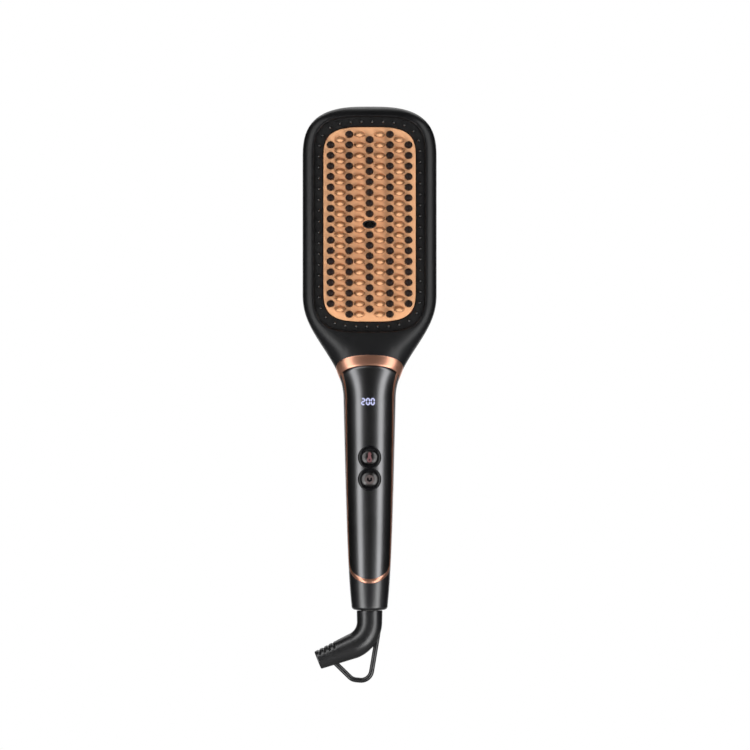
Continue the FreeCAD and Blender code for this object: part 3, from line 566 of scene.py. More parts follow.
# The back half in rows of height, each running round from seam to seam.
def headRearParts():
    seam = head["seam"] + head["seamGap"]
    share = np.linspace(0, 1, 81)[None, :]
    rollBottom = form["length"] - form["rollDepth"]
    lastTurn = math.asin((1 - (seam / form["halfDepth"]) ** form["rollPower"]) ** (1 / form["rollPower"]))
    shoulderTop = form["neckHeight"] + form["shoulderLength"]
    crownBottom = form["length"] - form["crownDepth"]

    def angleAt(h):
        start = angleAtDepth(h, np.full_like(h, seam))
        return mix(start, math.pi - start, share)

    def endLine(h):
        return head["endHeight"] - head["collarSlope"] * sectionPoint(h, angleAt(h))[1]

    bottom = settle(endLine, np.full_like(share, head["endHeight"]))
    rows = [mix(bottom, shoulderTop, t) for t in np.linspace(0, 1, 40)]
    rows += [np.full_like(share, h) for h in np.linspace(shoulderTop, crownBottom, 7)[1:]]
    rows += [np.full_like(share, h) for h in np.linspace(crownBottom, rollBottom, 14)[1:]]
    rows += [np.full_like(share, rollBottom + form["rollDepth"] * math.sin(turn))
             for turn in np.linspace(0, lastTurn, 22)[1:]]
    h = np.concatenate(rows)
    x, y = sectionPoint(h, angleAt(h))
    return [gridPart(x, y, h)]


screws = {"radius": 3.0, "wall": 0.9, "top": 1.0, "bottom": 3.2}     # top and bottom lie below the skin


# the tube that a screw's head sits in, just under the skin
def screwSleeve(x, h):
    surface = float(surfaceDepth(np.array(x), np.array(h), back=True))
    inner, outer = screws["radius"], screws["radius"] + screws["wall"]
    top, bottom = surface - screws["top"], surface - screws["bottom"]
    return turnedPart([(inner, top), (inner, bottom), (outer, bottom), (outer, top), (inner, top)], x, h)


makePiece("headFront", headFrontParts(), "shell_black", nodes=["head_front_shell"], wall=head["wall"])
headRear = makePiece("headRear", headRearParts(), "shell_black", nodes=["head_rear_shell"],
                     wall=head["wall"])
headScrews = [(side * head["screwSide"], head["screwHeight"]) for side in (-1, 1)]
cutRoundHoles(headRear, headScrews, screws["radius"], head["holeDepths"])
print("head shells made")


# Neck collar.

neckCollar = {
    "lowerHeight": 130.3, "lowerSlope": 0.6,
    "acrossBand": (0.0, 0.03, 0.10, 0.22, 0.38, 0.5, 0.62, 0.78, 0.90, 0.97, 1.0),
    "standsOut": (-0.6, -0.02, 0.14, 0.22, 0.26, 0.27, 0.26, 0.22, 0.14, -0.02, -0.6),
}


# A band between two leaning planes, a little proud of the body and turned in at both edges.
def collarParts():
    angle = fullTurn(192)
    lower = planeHeight(angle, neckCollar["lowerHeight"], neckCollar["lowerSlope"])
    upper = planeHeight(angle, head["collarHeight"], head["collarSlope"])
    share = np.array(neckCollar["acrossBand"])[:, None]
    h = mix(lower, upper, share)
    x, y = sectionPoint(h, angle, np.array(neckCollar["standsOut"])[:, None])
    return [gridPart(x, y, h, wrap=True)]


makePiece("neckCollar", collarParts(), "rose_gold", nodes=["neck_collar"])


# Handle.

handle = {
    "tailHole": 6.5, "edgeWidth": 2.6, "edgeHeight": 1.9, "wall": 1.6,
    "side": -3.5, "lean": 0.032,            # the panel's long edges: y = side - lean * h
    "endHeight": 17.8, "endSlope": 0.85,    # its lower edge rises from the front to the sides
    "cornerRadius": 8.0, "trimWidth": 2.0,
    "sunk": 1.0, "sunkWithin": 0.3,         # how deep the shell lies under panel and trim, and its step
    "tailRows": (3.0, 12.0), "arcRows": (12.5, 40.0),           # rows of the shell, from low to high
    "panelArcTop": 36.0, "middleRows": (38.0, 66.0), "buttonRows": (66.5, 95.1),    # those of the panel
    "rowStep": 0.5,                         # between rows beside the arc and the buttons
    "panelWall": 0.8, "wellRadius": 5.9,
    "trimAcross": (-0.12, 0.0, 0.25, 0.7, 1.0, 1.3, 1.75, 2.0, 2.12),
    "trimProud": (-0.5, -0.02, 0.10, 0.15, 0.16, 0.15, 0.10, -0.02, -0.5),
    "screwHeights": (28.0, 108.0), "holeDepths": (6.0, 20.0),
}
buttons = {"temperature": 86.8, "power": 74.4}


# The front region's edge seen from the side, grown outwards: a long edge, a lower edge that slopes
# down to the front, and an arc that touches both. Points are (y, h).
def regionEdge(grow):
    lean, slope = handle["lean"], handle["endSlope"]
    front = -float(handleRadius(np.array(handle["endHeight"])))
    side = handle["side"] + grow * math.hypot(1, lean)
    low = handle["endHeight"] - grow * math.hypot(1, slope) - slope * front
    y = (side - lean * low) / (1 + lean * slope)
    corner = Vector((y, low + slope * y))
    up, down = Vector((-lean, 1)).normalized(), Vector((-1, -slope)).normalized()
    radius = handle["cornerRadius"] + grow
    reach = radius * math.tan((-up).angle(down) / 2)
    centre = corner + up * reach + Vector((-up.y, up.x)) * radius
    return {"side": side, "low": low, "centre": centre, "radius": radius,
            "arcTop": corner + up * reach, "arcEnd": corner + down * reach}


# y of that edge at h
def frontEdge(h, grow=0.0):
    edge = regionEdge(grow)
    arc = np.sqrt(np.maximum(edge["radius"] ** 2 - (h - edge["centre"].y) ** 2, 0))
    lower = (h - edge["low"]) / handle["endSlope"]
    belowArc = np.where(h > edge["arcEnd"].y, edge["centre"].x + arc, lower)
    return np.where(h > edge["arcTop"].y, edge["side"] - handle["lean"] * h, belowArc)


# The whole round of the handle, sunk where panel and trim lie on it, with a rounded tail.
def handleRearParts():
    angle = fullTurn(144)
    corner = handleRadius(np.array(handle["edgeHeight"]))
    turn = np.linspace(0, math.pi / 2, 8)
    tailRadius = np.concatenate([[handle["tailHole"]],
                                 corner - handle["edgeWidth"] * (1 - np.sin(turn))])[:, None]
    tailHeight = np.concatenate([[0.0], handle["edgeHeight"] * (1 - np.cos(turn))])[:, None]
    top = planeHeight(angle, neckCollar["lowerHeight"], neckCollar["lowerSlope"])
    arcLow, arcHigh = handle["arcRows"]
    levels = np.concatenate([
        np.linspace(*handle["tailRows"], 6), np.arange(arcLow, arcHigh, handle["rowStep"]),
        np.linspace(arcHigh, form["neckHeight"], 36),
    ])
    rows = [levels[:, None] + 0 * angle]
    rows += [mix(form["neckHeight"], top, t) for t in np.linspace(0, 1, 16)[1:]]
    h = np.concatenate(rows)
    x, y = sectionPoint(h, angle)
    into = frontEdge(h, handle["trimWidth"] - handle["sunkWithin"]) - y
    inwards = 1 - handle["sunk"] * np.clip(into / handle["sunkWithin"], 0, 1) / np.hypot(x, y)
    return [gridPart(*stretches(
        (tailRadius * np.cos(angle), tailRadius * np.sin(angle), tailHeight),
        (x * inwards, y * inwards, h),
    ), wrap=True)]


# The front region between its two edges, up to the collar, with the button wells left open.
def handlePanelParts():
    share = np.linspace(-1, 1, 65)[None, :]

    def angleAt(h):
        halfTurn = math.pi / 2 - angleAtDepth(h, frontEdge(h))
        return -math.pi / 2 + share * halfTurn

    def collarLine(h):
        return neckCollar["lowerHeight"] - neckCollar["lowerSlope"] * sectionPoint(h, angleAt(h))[1]

    top = settle(collarLine, np.full_like(share, neckCollar["lowerHeight"]))
    levels = np.concatenate([
        mix(handle["endHeight"], handle["panelArcTop"], np.linspace(0, 1, 34) ** 2),
        np.linspace(*handle["middleRows"], 15), np.arange(*handle["buttonRows"], handle["rowStep"]),
    ])
    rows = [np.full_like(share, h) for h in levels]
    rows += [mix(levels[-1], top, t) for t in np.linspace(0, 1, 26)[1:]]
    h = np.concatenate(rows)
    x, y = sectionPoint(h, angleAt(h))
    points, faces = gridPart(x, y, h)
    middle = points[faces].mean(axis=1)
    kept = np.ones(len(faces), bool)
    for place in buttons.values():
        kept &= np.hypot(middle[:, 0], middle[:, 2] - place) > handle["wellRadius"]
    return [(points, faces[kept])]


# One line along the region's edge at this growth: down the side, round the arc and to the front,
# where it meets the handle's middle line.
def trimLine(grow):
    edge = regionEdge(grow)
    slope, leaning = neckCollar["lowerSlope"], handle["lean"]
    top = (neckCollar["lowerHeight"] - slope * edge["side"]) / (1 - slope * leaning)
    sideH = np.linspace(top, edge["arcTop"].y, 60)
    start, end = math.atan(leaning), -math.atan(1 / handle["endSlope"])
    turn = np.linspace(start, end, 20)[1:]
    middleH = settle(lambda h: edge["low"] - handle["endSlope"] * float(handleRadius(np.array(h))),
                     handle["endHeight"])
    endH = mix(middleH, edge["arcEnd"].y, np.linspace(1, 0, 24)[1:] ** 2)
    y = np.concatenate([
        edge["side"] - leaning * sideH,
        edge["centre"].x + edge["radius"] * np.cos(turn),
        (endH - edge["low"]) / handle["endSlope"],
    ])
    return y, np.concatenate([sideH, edge["centre"].y + edge["radius"] * np.sin(turn), endH])


# A strip along the edge, from the collar down one side, across the front and up the other side.
def handleTrimParts():
    proud = np.array(handle["trimProud"])[:, None]
    y, h = [np.array(values) for values in zip(*[trimLine(grow) for grow in handle["trimAcross"]])]
    x = surfaceSide(y, h)
    x[:, -1] = 0
    outwards = 1 + proud / np.hypot(x, y)
    x, y = x * outwards, y * outwards
    back = slice(-2, None, -1)      # the same line again, up the other side
    return [gridPart(*[np.concatenate([values, sign * values[:, back]], axis=1)
                       for values, sign in ((x, -1), (y, 1), (h, 1))])]


handleRear = makePiece("handleRear", handleRearParts(), "handle_black", nodes=["handle_rear_shell"],
                       wall=handle["wall"])
handleScrews = [(0.0, h) for h in handle["screwHeights"]]
cutRoundHoles(handleRear, handleScrews, screws["radius"], handle["holeDepths"])
makePiece("handlePanel", handlePanelParts(), "panel_gunmetal", nodes=["handle_front_panel"],
          wall=handle["panelWall"])
makePiece("handleTrim", handleTrimParts(), "rose_gold", nodes=["handle_trim"])
makePiece("headSleeves", [screwSleeve(x, h) for x, h in headScrews], "shell_black")
makePiece("handleSleeves", [screwSleeve(x, h) for x, h in handleScrews], "handle_black")
print("handle made")


# Buttons, bezel and display.

bezel = {"radius": 6.65, "hole": 4.85, "lift": 0.45, "edge": 0.6, "foot": -11.05, "skirt": 0.5}


# Two rings that meet on the plane between the buttons, rounded at both edges:
# lift times sqrt(1 - (1 - d / edge)^2), d being the distance to the nearer edge.
def bezelParts():
    middle = sum(buttons.values()) / 2
    angle = fullTurn(144)
    parts = []
    for place in buttons.values():
        towards = np.sin(angle) * math.copysign(1, middle - place)
        clamped = abs(middle - place) / np.maximum(towards, tiny)
        end = np.minimum(bezel["radius"], clamped)
        share = (1 - np.cos(np.linspace(0, math.pi, 17)))[:, None] / 2
        radius = mix(bezel["hole"], end, share)
        near = np.minimum(radius - bezel["hole"], bezel["radius"] - radius)
        lift = bezel["lift"] * np.sqrt(1 - (1 - np.clip(near / bezel["edge"], 0, 1)) ** 2)
        x, h = radius * np.cos(angle), place + radius * np.sin(angle)
        y = surfaceDepth(x, h) - lift
        foot = np.where(clamped > bezel["radius"], y[-1:] + bezel["skirt"], y[-1:])
        parts.append(gridPart(*stretches(
            (x[:1], bezel["foot"], h[:1]), (x, y, h), (x[-1:], foot, h[-1:]),
        ), wrap=True))
    return parts


cap = {
    "radius": 4.65, "top": -14.2, "dome": 8.0, "back": -11.0,
    "edge": 0.35, "edgeStretch": 1.6, "edgeStart": 0.6,     # a rounding drawn out along y
    "flange": 5.5, "flangeBack": -10.0, "stem": 1.5, "stemBack": -8.9,
}


# y of the domed face at a distance from its middle
def capFace(radius):
    return cap["top"] + cap["dome"] - np.sqrt(cap["dome"] ** 2 - radius ** 2)


# a domed face, a rounded edge, the side, the flange behind the bezel and the stem
def capPart(place):
    flat = cap["radius"] - cap["edge"]
    profile = [(r, capFace(r)) for r in np.linspace(0, flat, 14)]
    profile += [(flat + cap["edge"] * math.sin(turn),
                 capFace(flat) + cap["edgeStretch"] * cap["edge"] * (1 - math.cos(turn)))
                for turn in np.linspace(cap["edgeStart"], math.pi / 2, 5)]
    profile += [
        (cap["radius"], cap["back"]), (cap["flange"], cap["back"]), (cap["flange"], cap["flangeBack"]),
        (cap["stem"], cap["flangeBack"]), (cap["stem"], cap["stemBack"]), (0, cap["stemBack"]),
    ]
    return turnedPart(profile, 0.0, place, sides=72)


# The icons on the caps, in millimetres from the cap's middle and degrees round it. lift is how far
# a mark stands off the face.
marks = {
    "lift": 0.03,
    "halo": {"h": -0.2, "inner": 0.0, "outer": 2.7},
    "power": {"h": 0.0, "inner": 0.4, "outer": 1.5, "start": 130.0, "end": 410.0, "lift": 0.06},
    "bulb": {"h": -1.35, "inner": 0.5, "outer": 1.5},
    "stemTop": {"h": 2.1, "inner": 0.0, "outer": 0.95, "end": 180.0},
    "stem": {"halfWidth": 0.95, "bottom": -0.2},
}


# part of a ring that lies on a button's domed face
def ringMark(place, h, inner, outer, start=0.0, end=360.0, lift=marks["lift"]):
    angle = np.radians(np.linspace(start, end, 40))[None, :]
    radius = np.linspace(inner, outer, 4)[:, None]
    markX, markH = radius * np.cos(angle), h + radius * np.sin(angle)
    return gridPart(markX, capFace(np.hypot(markX, markH)) - lift, place + markH)


# a round-topped stem on a bulb with a bare middle
def thermometerMark(place):
    stem, top = marks["stem"], marks["stemTop"]
    x, h = np.meshgrid(np.linspace(-stem["halfWidth"], stem["halfWidth"], 4),
                       np.linspace(stem["bottom"], top["h"], 6))
    stemPart = gridPart(x, capFace(np.hypot(x, h)) - marks["lift"], place + h)
    return [ringMark(place, **marks["bulb"]), ringMark(place, **top), stemPart]


# The shown number in seven-bar digits. lit lists the bars of each digit, counted as: top, upper right,
# lower right, bottom, lower left, upper left, middle.
digits = {
    "text": "200", "middle": (-0.9, 118.4), "tall": 4.2, "wide": 2.5, "pitch": 2.7,
    "stroke": 0.85, "lift": 0.04,
    "lit": {"0": (0, 1, 2, 3, 4, 5), "2": (0, 1, 3, 4, 6)},
}


# one bar with pointed ends, lying on the panel's surface
def digitBar(x, h, length, upright):
    point = digits["stroke"] / 2
    half = length / 2
    along = np.array([[-half, point - half, half - point, half]])
    across = np.array([[-1.0], [1.0]]) * point * np.array([[0, 1, 1, 0]])
    barX, barH = (across, along + 0 * across) if upright else (along + 0 * across, across)
    barX, barH = barX + x, barH + h
    return gridPart(barX, surfaceDepth(barX, barH) - digits["lift"], barH)


# the lit bars of every digit, side by side about the middle
def digitParts():
    wide, tall = digits["wide"] - digits["stroke"], digits["tall"] - digits["stroke"]
    # each bar's place, as shares of the width and of half the height, and whether it stands upright
    bars = [(0, 1, False), (0.5, 0.5, True), (0.5, -0.5, True), (0, -1, False),
            (-0.5, -0.5, True), (-0.5, 0.5, True), (0, 0, False)]
    parts = []
    middleX, middleH = digits["middle"]
    for i, digit in enumerate(digits["text"]):
        centre = middleX + (i - (len(digits["text"]) - 1) / 2) * digits["pitch"]
        for bar in digits["lit"][digit]:
            sideways, upwards, upright = bars[bar]
            parts.append(digitBar(centre + sideways * wide, middleH + upwards * tall / 2,
                                  tall / 2 if upright else wide, upright))
    return parts


makePiece("buttonBezel", bezelParts(), "bezel_black", nodes=["button_bezel"])
for name, place in buttons.items():
    makePiece(name + "Button", [capPart(place)], "button_black", body=name + "_button",
              nodes=[name + "_button_cap"])
makePiece("powerHalo", [ringMark(buttons["power"], **marks["halo"])], "icon_pale", body="power_button")
makePiece("powerMark", [ringMark(buttons["power"], **marks["power"])], "bezel_black",
          body="power_button")
makePiece("temperatureMark", thermometerMark(buttons["temperature"]), "icon_red",
          body="temperature_button")
makePiece("displayDigits", digitParts(), "digit_glow")
print("controls made")


# Heated plate, teeth, bristles, comb and outlet.

field = {
    "face": -11.0, "edge": 0.7, "foot": -7.3, "rowPitch": 6.0,
    "bristleColumns": {0.0: 17, 11.5: 18, 22.1: 16}, "toothColumns": {5.75: 18, 16.8: 17},
}
outlet = {
    "halfWidth": 4.0, "halfHeight": 2.4,
    "rimMiddle": 0.45, "rimHalfWidth": 0.35, "rimHeight": 0.3, "rimSunk": 0.05,
    "lipInset": (0, 0, 0.1, 0.35, 0.65, 0.85, 0.9, 0.9),        # from the tube's outside over its lip
    "lipDepth": (-4.0, -11.0, -11.15, -11.22, -11.18, -11.0, -10.8, -4.0),
}


# places of one kind of row, mirrored left and right
def columnPlaces(columns, depth):
    places = []
    for x, rows in columns.items():
        for i in range(rows):
            h = fieldHeight + (i - (rows - 1) / 2) * field["rowPitch"]
            places += [(side, depth, h) for side in sorted({-x, x})]
    return places


# every bristle's place, less the one that would stand in the outlet
def bristlePlaces():
    places = columnPlaces(field["bristleColumns"], field["face"])
    return [place for place in places
            if place[0] != 0 or abs(place[2] - fieldHeight) > outlet["halfHeight"]]


# Rings round the outline: the outlet's wall, the face, a rounded edge and the skirt.
def plateBodyPart():
    turns = evenTurns(plateOutline, 240)[None]
    edge = field["edge"]
    bend = np.linspace(0, math.pi / 2, 7)[:, None]
    bendX, bendH = outlinePoints(plateOutline, turns, edge * (np.sin(bend) - 1))
    angle = np.arctan2(bendH[:1] - fieldHeight, bendX[:1])
    holeX = outlet["halfWidth"] * np.cos(angle)
    holeH = fieldHeight + outlet["halfHeight"] * np.sin(angle)
    outwards = np.linspace(0, 1, 9)[:-1, None] ** 1.5
    faceX, faceH = mix(holeX, bendX[:1], outwards), mix(holeH, bendH[:1], outwards)
    footX, footH = outlinePoints(plateOutline, turns)
    return gridPart(*stretches(
        (holeX, field["foot"], holeH), (faceX, field["face"], faceH),
        (bendX, field["face"] + edge * (1 - np.cos(bend)), bendH), (footX, field["foot"], footH),
    ), wrap=True)


# rise and size run up the tooth together: size is the share of its halves that is left at each rise
tooth = {
    "halfWidth": 3.1, "halfHeight": 1.75,
    "rise": (-0.3, 0.0, 0.35, 1.0, 3.5, 6.2, 6.9, 7.3, 7.47, 7.5),
    "size": (1.07, 1.05, 1.0, 0.97, 0.84, 0.68, 0.60, 0.46, 0.25, 0.0),
    "leanUpTo": 6.2, "lean": 0.32,      # its middle moves down by this share of halfHeight
}


# an oval finger standing on y = 0, narrowed towards a rounded tip, most of it from above
def toothPart():
    rise = np.array(tooth["rise"])[:, None]
    size = np.array(tooth["size"])[:, None]
    sunk = tooth["lean"] * np.clip(rise / tooth["leanUpTo"], 0, 1) * tooth["halfHeight"]
    angle = fullTurn(24)
    return gridPart(size * tooth["halfWidth"] * np.cos(angle), -rise,
                    size * tooth["halfHeight"] * np.sin(angle) - sunk, wrap=True)


bristle = {
    "foot": ((2.1, 0.3), (2.1, -0.06), (2.0, -0.09), (1.96, -1.0)),     # radius and y of its collar
    "tip": 1.7, "reach": 11.0, "nose": 1.0, "aspect": 1.1,
}


# a slim cone with a collar in the plate's hole and a rounded nose
def bristlePart():
    start = bristle["reach"] - bristle["nose"]
    nose = [(bristle["tip"] * math.cos(turn), -(start + bristle["nose"] * math.sin(turn)))
            for turn in np.linspace(0, math.pi / 2, 6)]
    return turnedPart([*bristle["foot"], *nose], sides=18, aspect=bristle["aspect"])


# an oval carried round the outlet: half width and half height of the outlet, each grown by out
def outletOval(out, y):
    angle = fullTurn(64)
    return gridPart((outlet["halfWidth"] + out) * np.cos(angle), y + 0 * angle,
                    fieldHeight + (outlet["halfHeight"] + out) * np.sin(angle), wrap=True)


# a low ring round the outlet, standing on the plate, half an oval in section
def outletRimPart():
    turn = np.linspace(0, math.pi, 7)[:, None]
    return outletOval(outlet["rimMiddle"] - outlet["rimHalfWidth"] * np.cos(turn),
                      field["face"] + outlet["rimSunk"] - outlet["rimHeight"] * np.sin(turn))


# the nozzle's oval tube: outside, rounded lip, inside
def nozzlePart():
    return outletOval(-np.array(outlet["lipInset"])[:, None], np.array(outlet["lipDepth"])[:, None])


comb = {
    "floor": -9.0, "back": -7.2, "gap": 0.4, "under": 0.6,
    "edgeHeight": 0.15, "edgeShare": 0.02,      # the bevel beside the plate
    "pins": 52, "pinRadius": 0.75, "pinReach": 6.5, "pinFoot": 0.2, "footGrow": 1.15,
}


# the channel's floor between plate and wall, turned down beside the plate
def combFloorPart():
    turns = evenTurns(channelOutline, 240)[None]
    innerX, innerH = outlinePoints(plateOutline, turns, comb["gap"])
    outerX, outerH = outlinePoints(channelOutline, turns, comb["under"])
    share = np.array([0, 0, comb["edgeShare"], 0.5, 1.0])[:, None]
    floor = comb["floor"]
    depth = np.array([comb["back"], floor + comb["edgeHeight"], floor, floor, floor])[:, None]
    return gridPart(mix(innerX, outerX, share), depth + 0 * innerX, mix(innerH, outerH, share), wrap=True)


# pins at equal steps along the middle of the channel
def combPinParts():
    middle = {key: (plateOutline[key] + channelOutline[key]) / 2 for key in plateOutline}
    x, h = outlinePoints(middle, evenTurns(middle, comb["pins"]))
    r, reach = comb["pinRadius"], comb["pinReach"]
    dome = [(r * math.cos(turn), r - reach - r * math.sin(turn))
            for turn in np.linspace(0, math.pi / 2, 5)]
    foot = r * comb["footGrow"]
    pin = turnedPart([(foot, comb["pinFoot"]), (foot, 0.0), *dome], sides=10)
    return repeatPart(pin, np.stack([x, 0 * x + comb["floor"], h], axis=-1))


teeth = repeatPart(toothPart(), columnPlaces(field["toothColumns"], field["face"]))
makePiece("heaterPlate", [plateBodyPart(), teeth, outletRimPart()], "copper_coating",
          nodes=["heater_plate"])
makePiece("bristles", [repeatPart(bristlePart(), bristlePlaces())], "bristle_black",
          nodes=["bristle_carrier"])
makePiece("guardComb", [combFloorPart()], "comb_black", nodes=["guard_comb"])
makePiece("guardPins", [combPinParts()], "pin_black")
makePiece("ionNozzle", [nozzlePart()], "part_black", nodes=["ion_nozzle"])
print("brush field made")


# Cord boot.

boot = {
    "topRadius": 7.35, "bendTube": 7.2, "mouthRadius": 5.3, "gap": 0.3, "drop": 6.56,
    "bendRadius": 15.0, "bendAngle": 68.0, "straight": 21.7, "sides": 72,
    "bore": 3.5, "boreDepth": 18.0, "boreEdge": 0.3, "edge": 0.6,
    "notches": 4, "notchPitch": 2.9, "notchWidth": 1.1, "notchDepth": 0.5,      # above, near the mouth
    "notchFrom": 0.35, "notchFade": 4.0,            # cosine where a notch starts, and how fast it deepens
    "loopRadius": 1.45, "loopBend": 6.0, "loopSides": 28,
    "loopRoute": ((4.8, -13.0), (0.2, -40.4), (-9.8, -39.5), (-20.4, -29.2)),
}


# rounds across a path in the plane y = 0, with one radius each or one for every side
def tubePart(x, h, alongX, alongH, radius, sides):
    angle = fullTurn(sides)
    x, h, alongX, alongH = [np.asarray(v, float)[:, None] for v in (x, h, alongX, alongH)]
    radius = np.asarray(radius, float).reshape(len(x), -1)
    return gridPart(x + radius * np.cos(angle) * alongH, radius * np.sin(angle),
                    h - radius * np.cos(angle) * alongX, wrap=True)


# distances along the boot's middle line to the start and the end of its bend
def bendEnds():
    first = boot["drop"] - boot["gap"]
    return first, first + boot["bendRadius"] * math.radians(boot["bendAngle"])


# the boot's middle line: straight down, round the bend, straight on
def bootLine(distance):
    first, second = bendEnds()
    angle = np.clip((distance - first) / boot["bendRadius"], 0, math.radians(boot["bendAngle"]))
    alongX, alongH = -np.sin(angle), -np.cos(angle)
    straight = np.minimum(distance - first, 0) + np.maximum(distance - second, 0)
    x = boot["bendRadius"] * (np.cos(angle) - 1) + alongX * straight
    h = -boot["drop"] - boot["bendRadius"] * np.sin(angle) + alongH * straight
    return x, h, alongX, alongH


# One closed skin: top disc, rounded edge, outside, rounded mouth, bore and its floor. The notches are
# as deep as the square root of the distance from their edges.
def bootPart():
    first, second = bendEnds()
    length = second + boot["straight"]
    edge, bore, floor = boot["edge"], boot["bore"], length - boot["boreDepth"]
    turn = np.linspace(0, math.pi / 2, 6)
    distance = np.concatenate([
        [0], edge * (1 - np.cos(turn)), np.linspace(edge, first, 5)[1:],
        np.linspace(first, second, 30)[1:], np.linspace(second, length - edge, 80)[1:],
        length - edge * (1 - np.sin(turn))[1:],
        [length, length - boot["boreEdge"], floor, floor],
    ])
    radius = np.interp(distance, [0, first, second, length],
                       [boot["topRadius"], boot["bendTube"], boot["bendTube"], boot["mouthRadius"]])
    # the first seven rounds are the top and its flat rounding, the last nine the mouth and the bore
    radius[0] = 0
    radius[1:7] -= edge * (1 - np.sin(turn)) / 4
    radius[-9:-4] = boot["mouthRadius"] - edge * (1 - np.cos(turn))[1:]
    radius[-4:] = [bore + boot["boreEdge"], bore, bore, 0]
    fromNotch = (length - distance) / boot["notchPitch"]
    nearest = np.clip(np.round(fromNotch), 1, boot["notches"])
    across = np.clip(1 - 2 * np.abs(fromNotch - nearest) * boot["notchPitch"] / boot["notchWidth"], 0, 1)
    around = np.clip(boot["notchFade"] * (np.cos(fullTurn(boot["sides"])) - boot["notchFrom"]), 0, 1)
    radius = radius[:, None] - boot["notchDepth"] * np.sqrt(across)[:, None] * around
    return tubePart(*bootLine(distance), radius, boot["sides"])


# a flat vector turned by an angle
def turned(vector, angle):
    cosine, sine = math.cos(angle), math.sin(angle)
    return Vector((vector.x * cosine - vector.y * sine, vector.x * sine + vector.y * cosine))


# a round strand along straight runs joined by arcs
def loopPart():
    route = [Vector(point) for point in boot["loopRoute"]]
    points, directions = [route[0]], [(route[1] - route[0]).normalized()]
    for before, corner, after in zip(route, route[1:], route[2:]):
        arriving, leaving = (corner - before).normalized(), (after - corner).normalized()
        turn = arriving.angle_signed(leaving)
        reach = boot["loopBend"] * math.tan(abs(turn) / 2)
        inwards = (leaving - arriving).normalized()
        centre = corner + inwards * (boot["loopBend"] / math.cos(turn / 2))
        spoke = corner - arriving * reach - centre
        for share in np.linspace(0, 1, 12):
            points.append(centre + turned(spoke, -turn * share))
            directions.append(turned(arriving, -turn * share))
    points.append(route[-1])
    directions.append((route[-1] - route[-2]).normalized())
    radius = np.full(len(points), boot["loopRadius"])
    return tubePart(*np.array(points).T, *np.array(directions).T, radius, boot["loopSides"])


makePiece("cordBoot", [bootPart(), loopPart()], "boot_rubber", body="cord_swivel", nodes=["cord_boot"])
print("cord boot made")


# Stage, light and camera.

stage = {
    "floorHeight": -1.25, "floorSize": 9.0, "floorColour": (0.60, 0.60, 0.60), "floorRoughness": 0.8,
    "showThrough": 0.85, "shownFloor": 1.15, "mirroredFloor": 0.1,
    "worldDiffuse": 0.14, "mirroredWorld": 0.01,
    "lampTarget": (0, 0, 0.06),
}


# the ray kinds' node, and an output that is 1 for the kinds that see the white background
def backgroundRays(tree, kinds):
    path = tree.nodes.new("ShaderNodeLightPath")
    total = path.outputs[kinds[0]]
    for kind in kinds[1:]:
        either = addNode(tree, "ShaderNodeMath", operation="MAXIMUM")
        tree.links.new(total, either.inputs[0])
        tree.links.new(path.outputs[kind], either.inputs[1])
        total = either.outputs["Value"]
    return path, total


# a pale floor that mostly glows white to the camera, less in reflections, and keeps some of its shadow
def makeFloor():
    half = stage["floorSize"] / 2
    mesh = bpy.data.meshes.new("floor")
    corners = [(-half, -half), (half, -half), (half, half), (-half, half)]
    mesh.from_pydata([(x, y, stage["floorHeight"]) for x, y in corners], [], [(0, 1, 2, 3)])
    floor = bpy.data.objects.new("floor", mesh)
    bpy.context.scene.collection.objects.link(floor)
    material = bpy.data.materials.new("floor")
    material.use_nodes = True
    tree = material.node_tree
    surface = tree.nodes["Principled BSDF"]
    setSockets(surface, Base_Color=(*stage["floorColour"], 1.0), Roughness=stage["floorRoughness"])
    glow = addNode(tree, "ShaderNodeEmission")
    share = addNode(tree, "ShaderNodeMath", operation="MULTIPLY")
    share.inputs[1].default_value = stage["showThrough"]
    both = addNode(tree, "ShaderNodeMixShader")
    path, seen = backgroundRays(tree, ["Is Camera Ray", "Is Glossy Ray", "Is Transmission Ray"])
    level = addNode(tree, "ShaderNodeMix", A=stage["shownFloor"], B=stage["mirroredFloor"])
    tree.links.new(seen, share.inputs[0])
    linkAll(tree, (path, "Is Glossy Ray", level, "Factor"), (level, "Result", glow, "Strength"),
            (share, "Value", both, 0), (surface, "BSDF", both, 1), (glow, "Emission", both, 2),
            (both, "Shader", tree.nodes["Material Output"], "Surface"))
    mesh.materials.append(material)


# white behind everything for the camera and through glass, dim as a light and all but black in gloss
def makeWorld():
    world = bpy.data.worlds.new("studio")
    bpy.context.scene.world = world
    world.use_nodes = True
    tree = world.node_tree
    background = tree.nodes["Background"]
    path, seen = backgroundRays(tree, ["Is Camera Ray", "Is Transmission Ray"])
    light = addNode(tree, "ShaderNodeMix", A=stage["worldDiffuse"], B=stage["mirroredWorld"])
    level = addNode(tree, "ShaderNodeMix", B=1.0)
    tree.links.new(seen, level.inputs["Factor"])
    linkAll(tree, (path, "Is Glossy Ray", light, "Factor"), (light, "Result", level, "A"),
            (level, "Result", background, "Strength"))
    setSockets(background, Color=(1.0, 1.0, 1.0, 1.0))


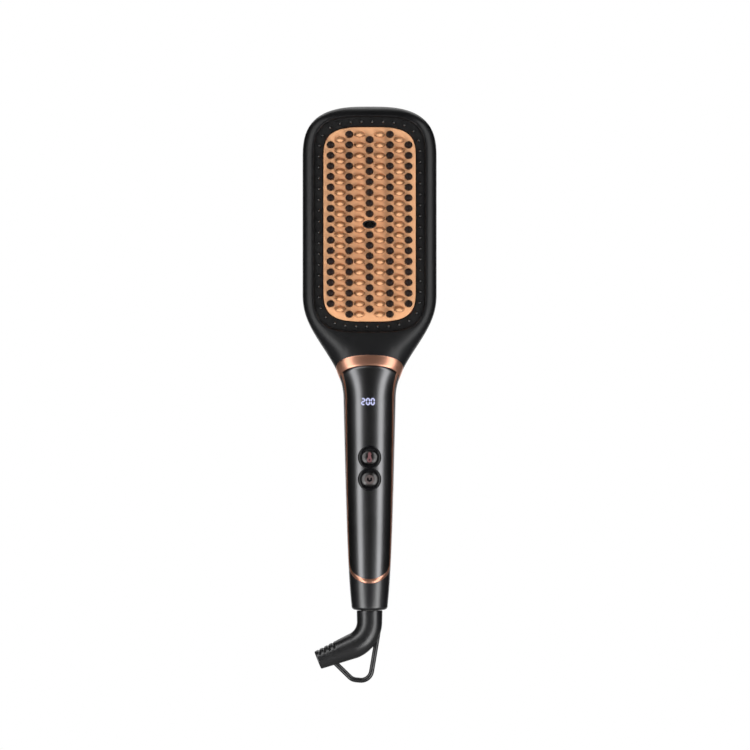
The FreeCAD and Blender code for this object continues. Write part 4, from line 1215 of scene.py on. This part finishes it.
# where each softbox stands, as degrees round from the front and above the horizon, and its size and
# level. A softbox with no gleam lights surfaces, but isn't mirrored in them.
lamps = {
    "leftStrip": {"azimuth": -50, "elevation": 4, "distance": 1.4, "size": (0.60, 2.8), "level": 2.15},
    "rightStrip": {"azimuth": 52, "elevation": 4, "distance": 1.4, "size": (0.62, 2.8), "level": 2.25},
    "lowLeft": {"azimuth": -36, "elevation": -30, "distance": 1.3, "size": (0.44, 0.40), "level": 2.8},
    "lowRight": {"azimuth": 34, "elevation": -30, "distance": 1.3, "size": (0.44, 0.40), "level": 2.8},
    "highLeft": {"azimuth": -26, "elevation": 46, "distance": 1.4, "size": (0.38, 0.34), "level": 2.2},
    "softKey": {"azimuth": 12, "elevation": -14, "distance": 1.6, "size": (0.4, 0.4), "level": 25.0,
                "gleam": False},
    "frontFill": {"azimuth": -4, "elevation": 4, "distance": 2.0, "size": (0.7, 0.7), "level": 9.0,
                  "gleam": False},
    "backHigh": {"azimuth": 180, "elevation": 45, "distance": 1.5, "size": (1.4, 0.9), "level": 1.5},
    "backLow": {"azimuth": 180, "elevation": -8, "distance": 1.6, "size": (1.8, 1.2), "level": 1.2},
}


# a softbox that faces the target. Its power is level times pi times its area, so that level is how
# bright its face is
def makeLamp(name, azimuth, elevation, distance, size, level, gleam=True):
    turn, rise = math.radians(azimuth), math.radians(elevation)
    away = Vector((math.sin(turn) * math.cos(rise), -math.cos(turn) * math.cos(rise), math.sin(rise)))
    data = bpy.data.lights.new(name, "AREA")
    data.shape = "RECTANGLE"
    data.size, data.size_y = size
    data.energy = level * math.pi * size[0] * size[1]
    lamp = bpy.data.objects.new(name, data)
    lamp.location = Vector(stage["lampTarget"]) + away * distance
    lamp.rotation_euler = away.to_track_quat("Z", "Y").to_euler()
    lamp.visible_glossy = gleam
    bpy.context.scene.collection.objects.link(lamp)


# straight in front, a little above the object's middle
view = {"lens": 500.0, "sensor": 36.0, "distance": 5.917, "across": 0.00307, "height": 0.06647,
        "clipEnd": 20.0}


# a camera that looks along y with a long lens
def makeCamera():
    data = bpy.data.cameras.new("camera")
    data.lens = view["lens"]
    data.sensor_width = view["sensor"]
    data.clip_end = view["clipEnd"]
    camera = bpy.data.objects.new("camera", data)
    camera.location = (view["across"], -view["distance"], view["height"])
    camera.rotation_euler = (math.pi / 2, 0, 0)
    bpy.context.scene.collection.objects.link(camera)
    bpy.context.scene.camera = camera


makeFloor()
makeWorld()
for name, settings in lamps.items():
    makeLamp(name, **settings)
makeCamera()
bpy.context.scene.view_settings.view_transform = "Standard"
print("stage, lamps and camera made")
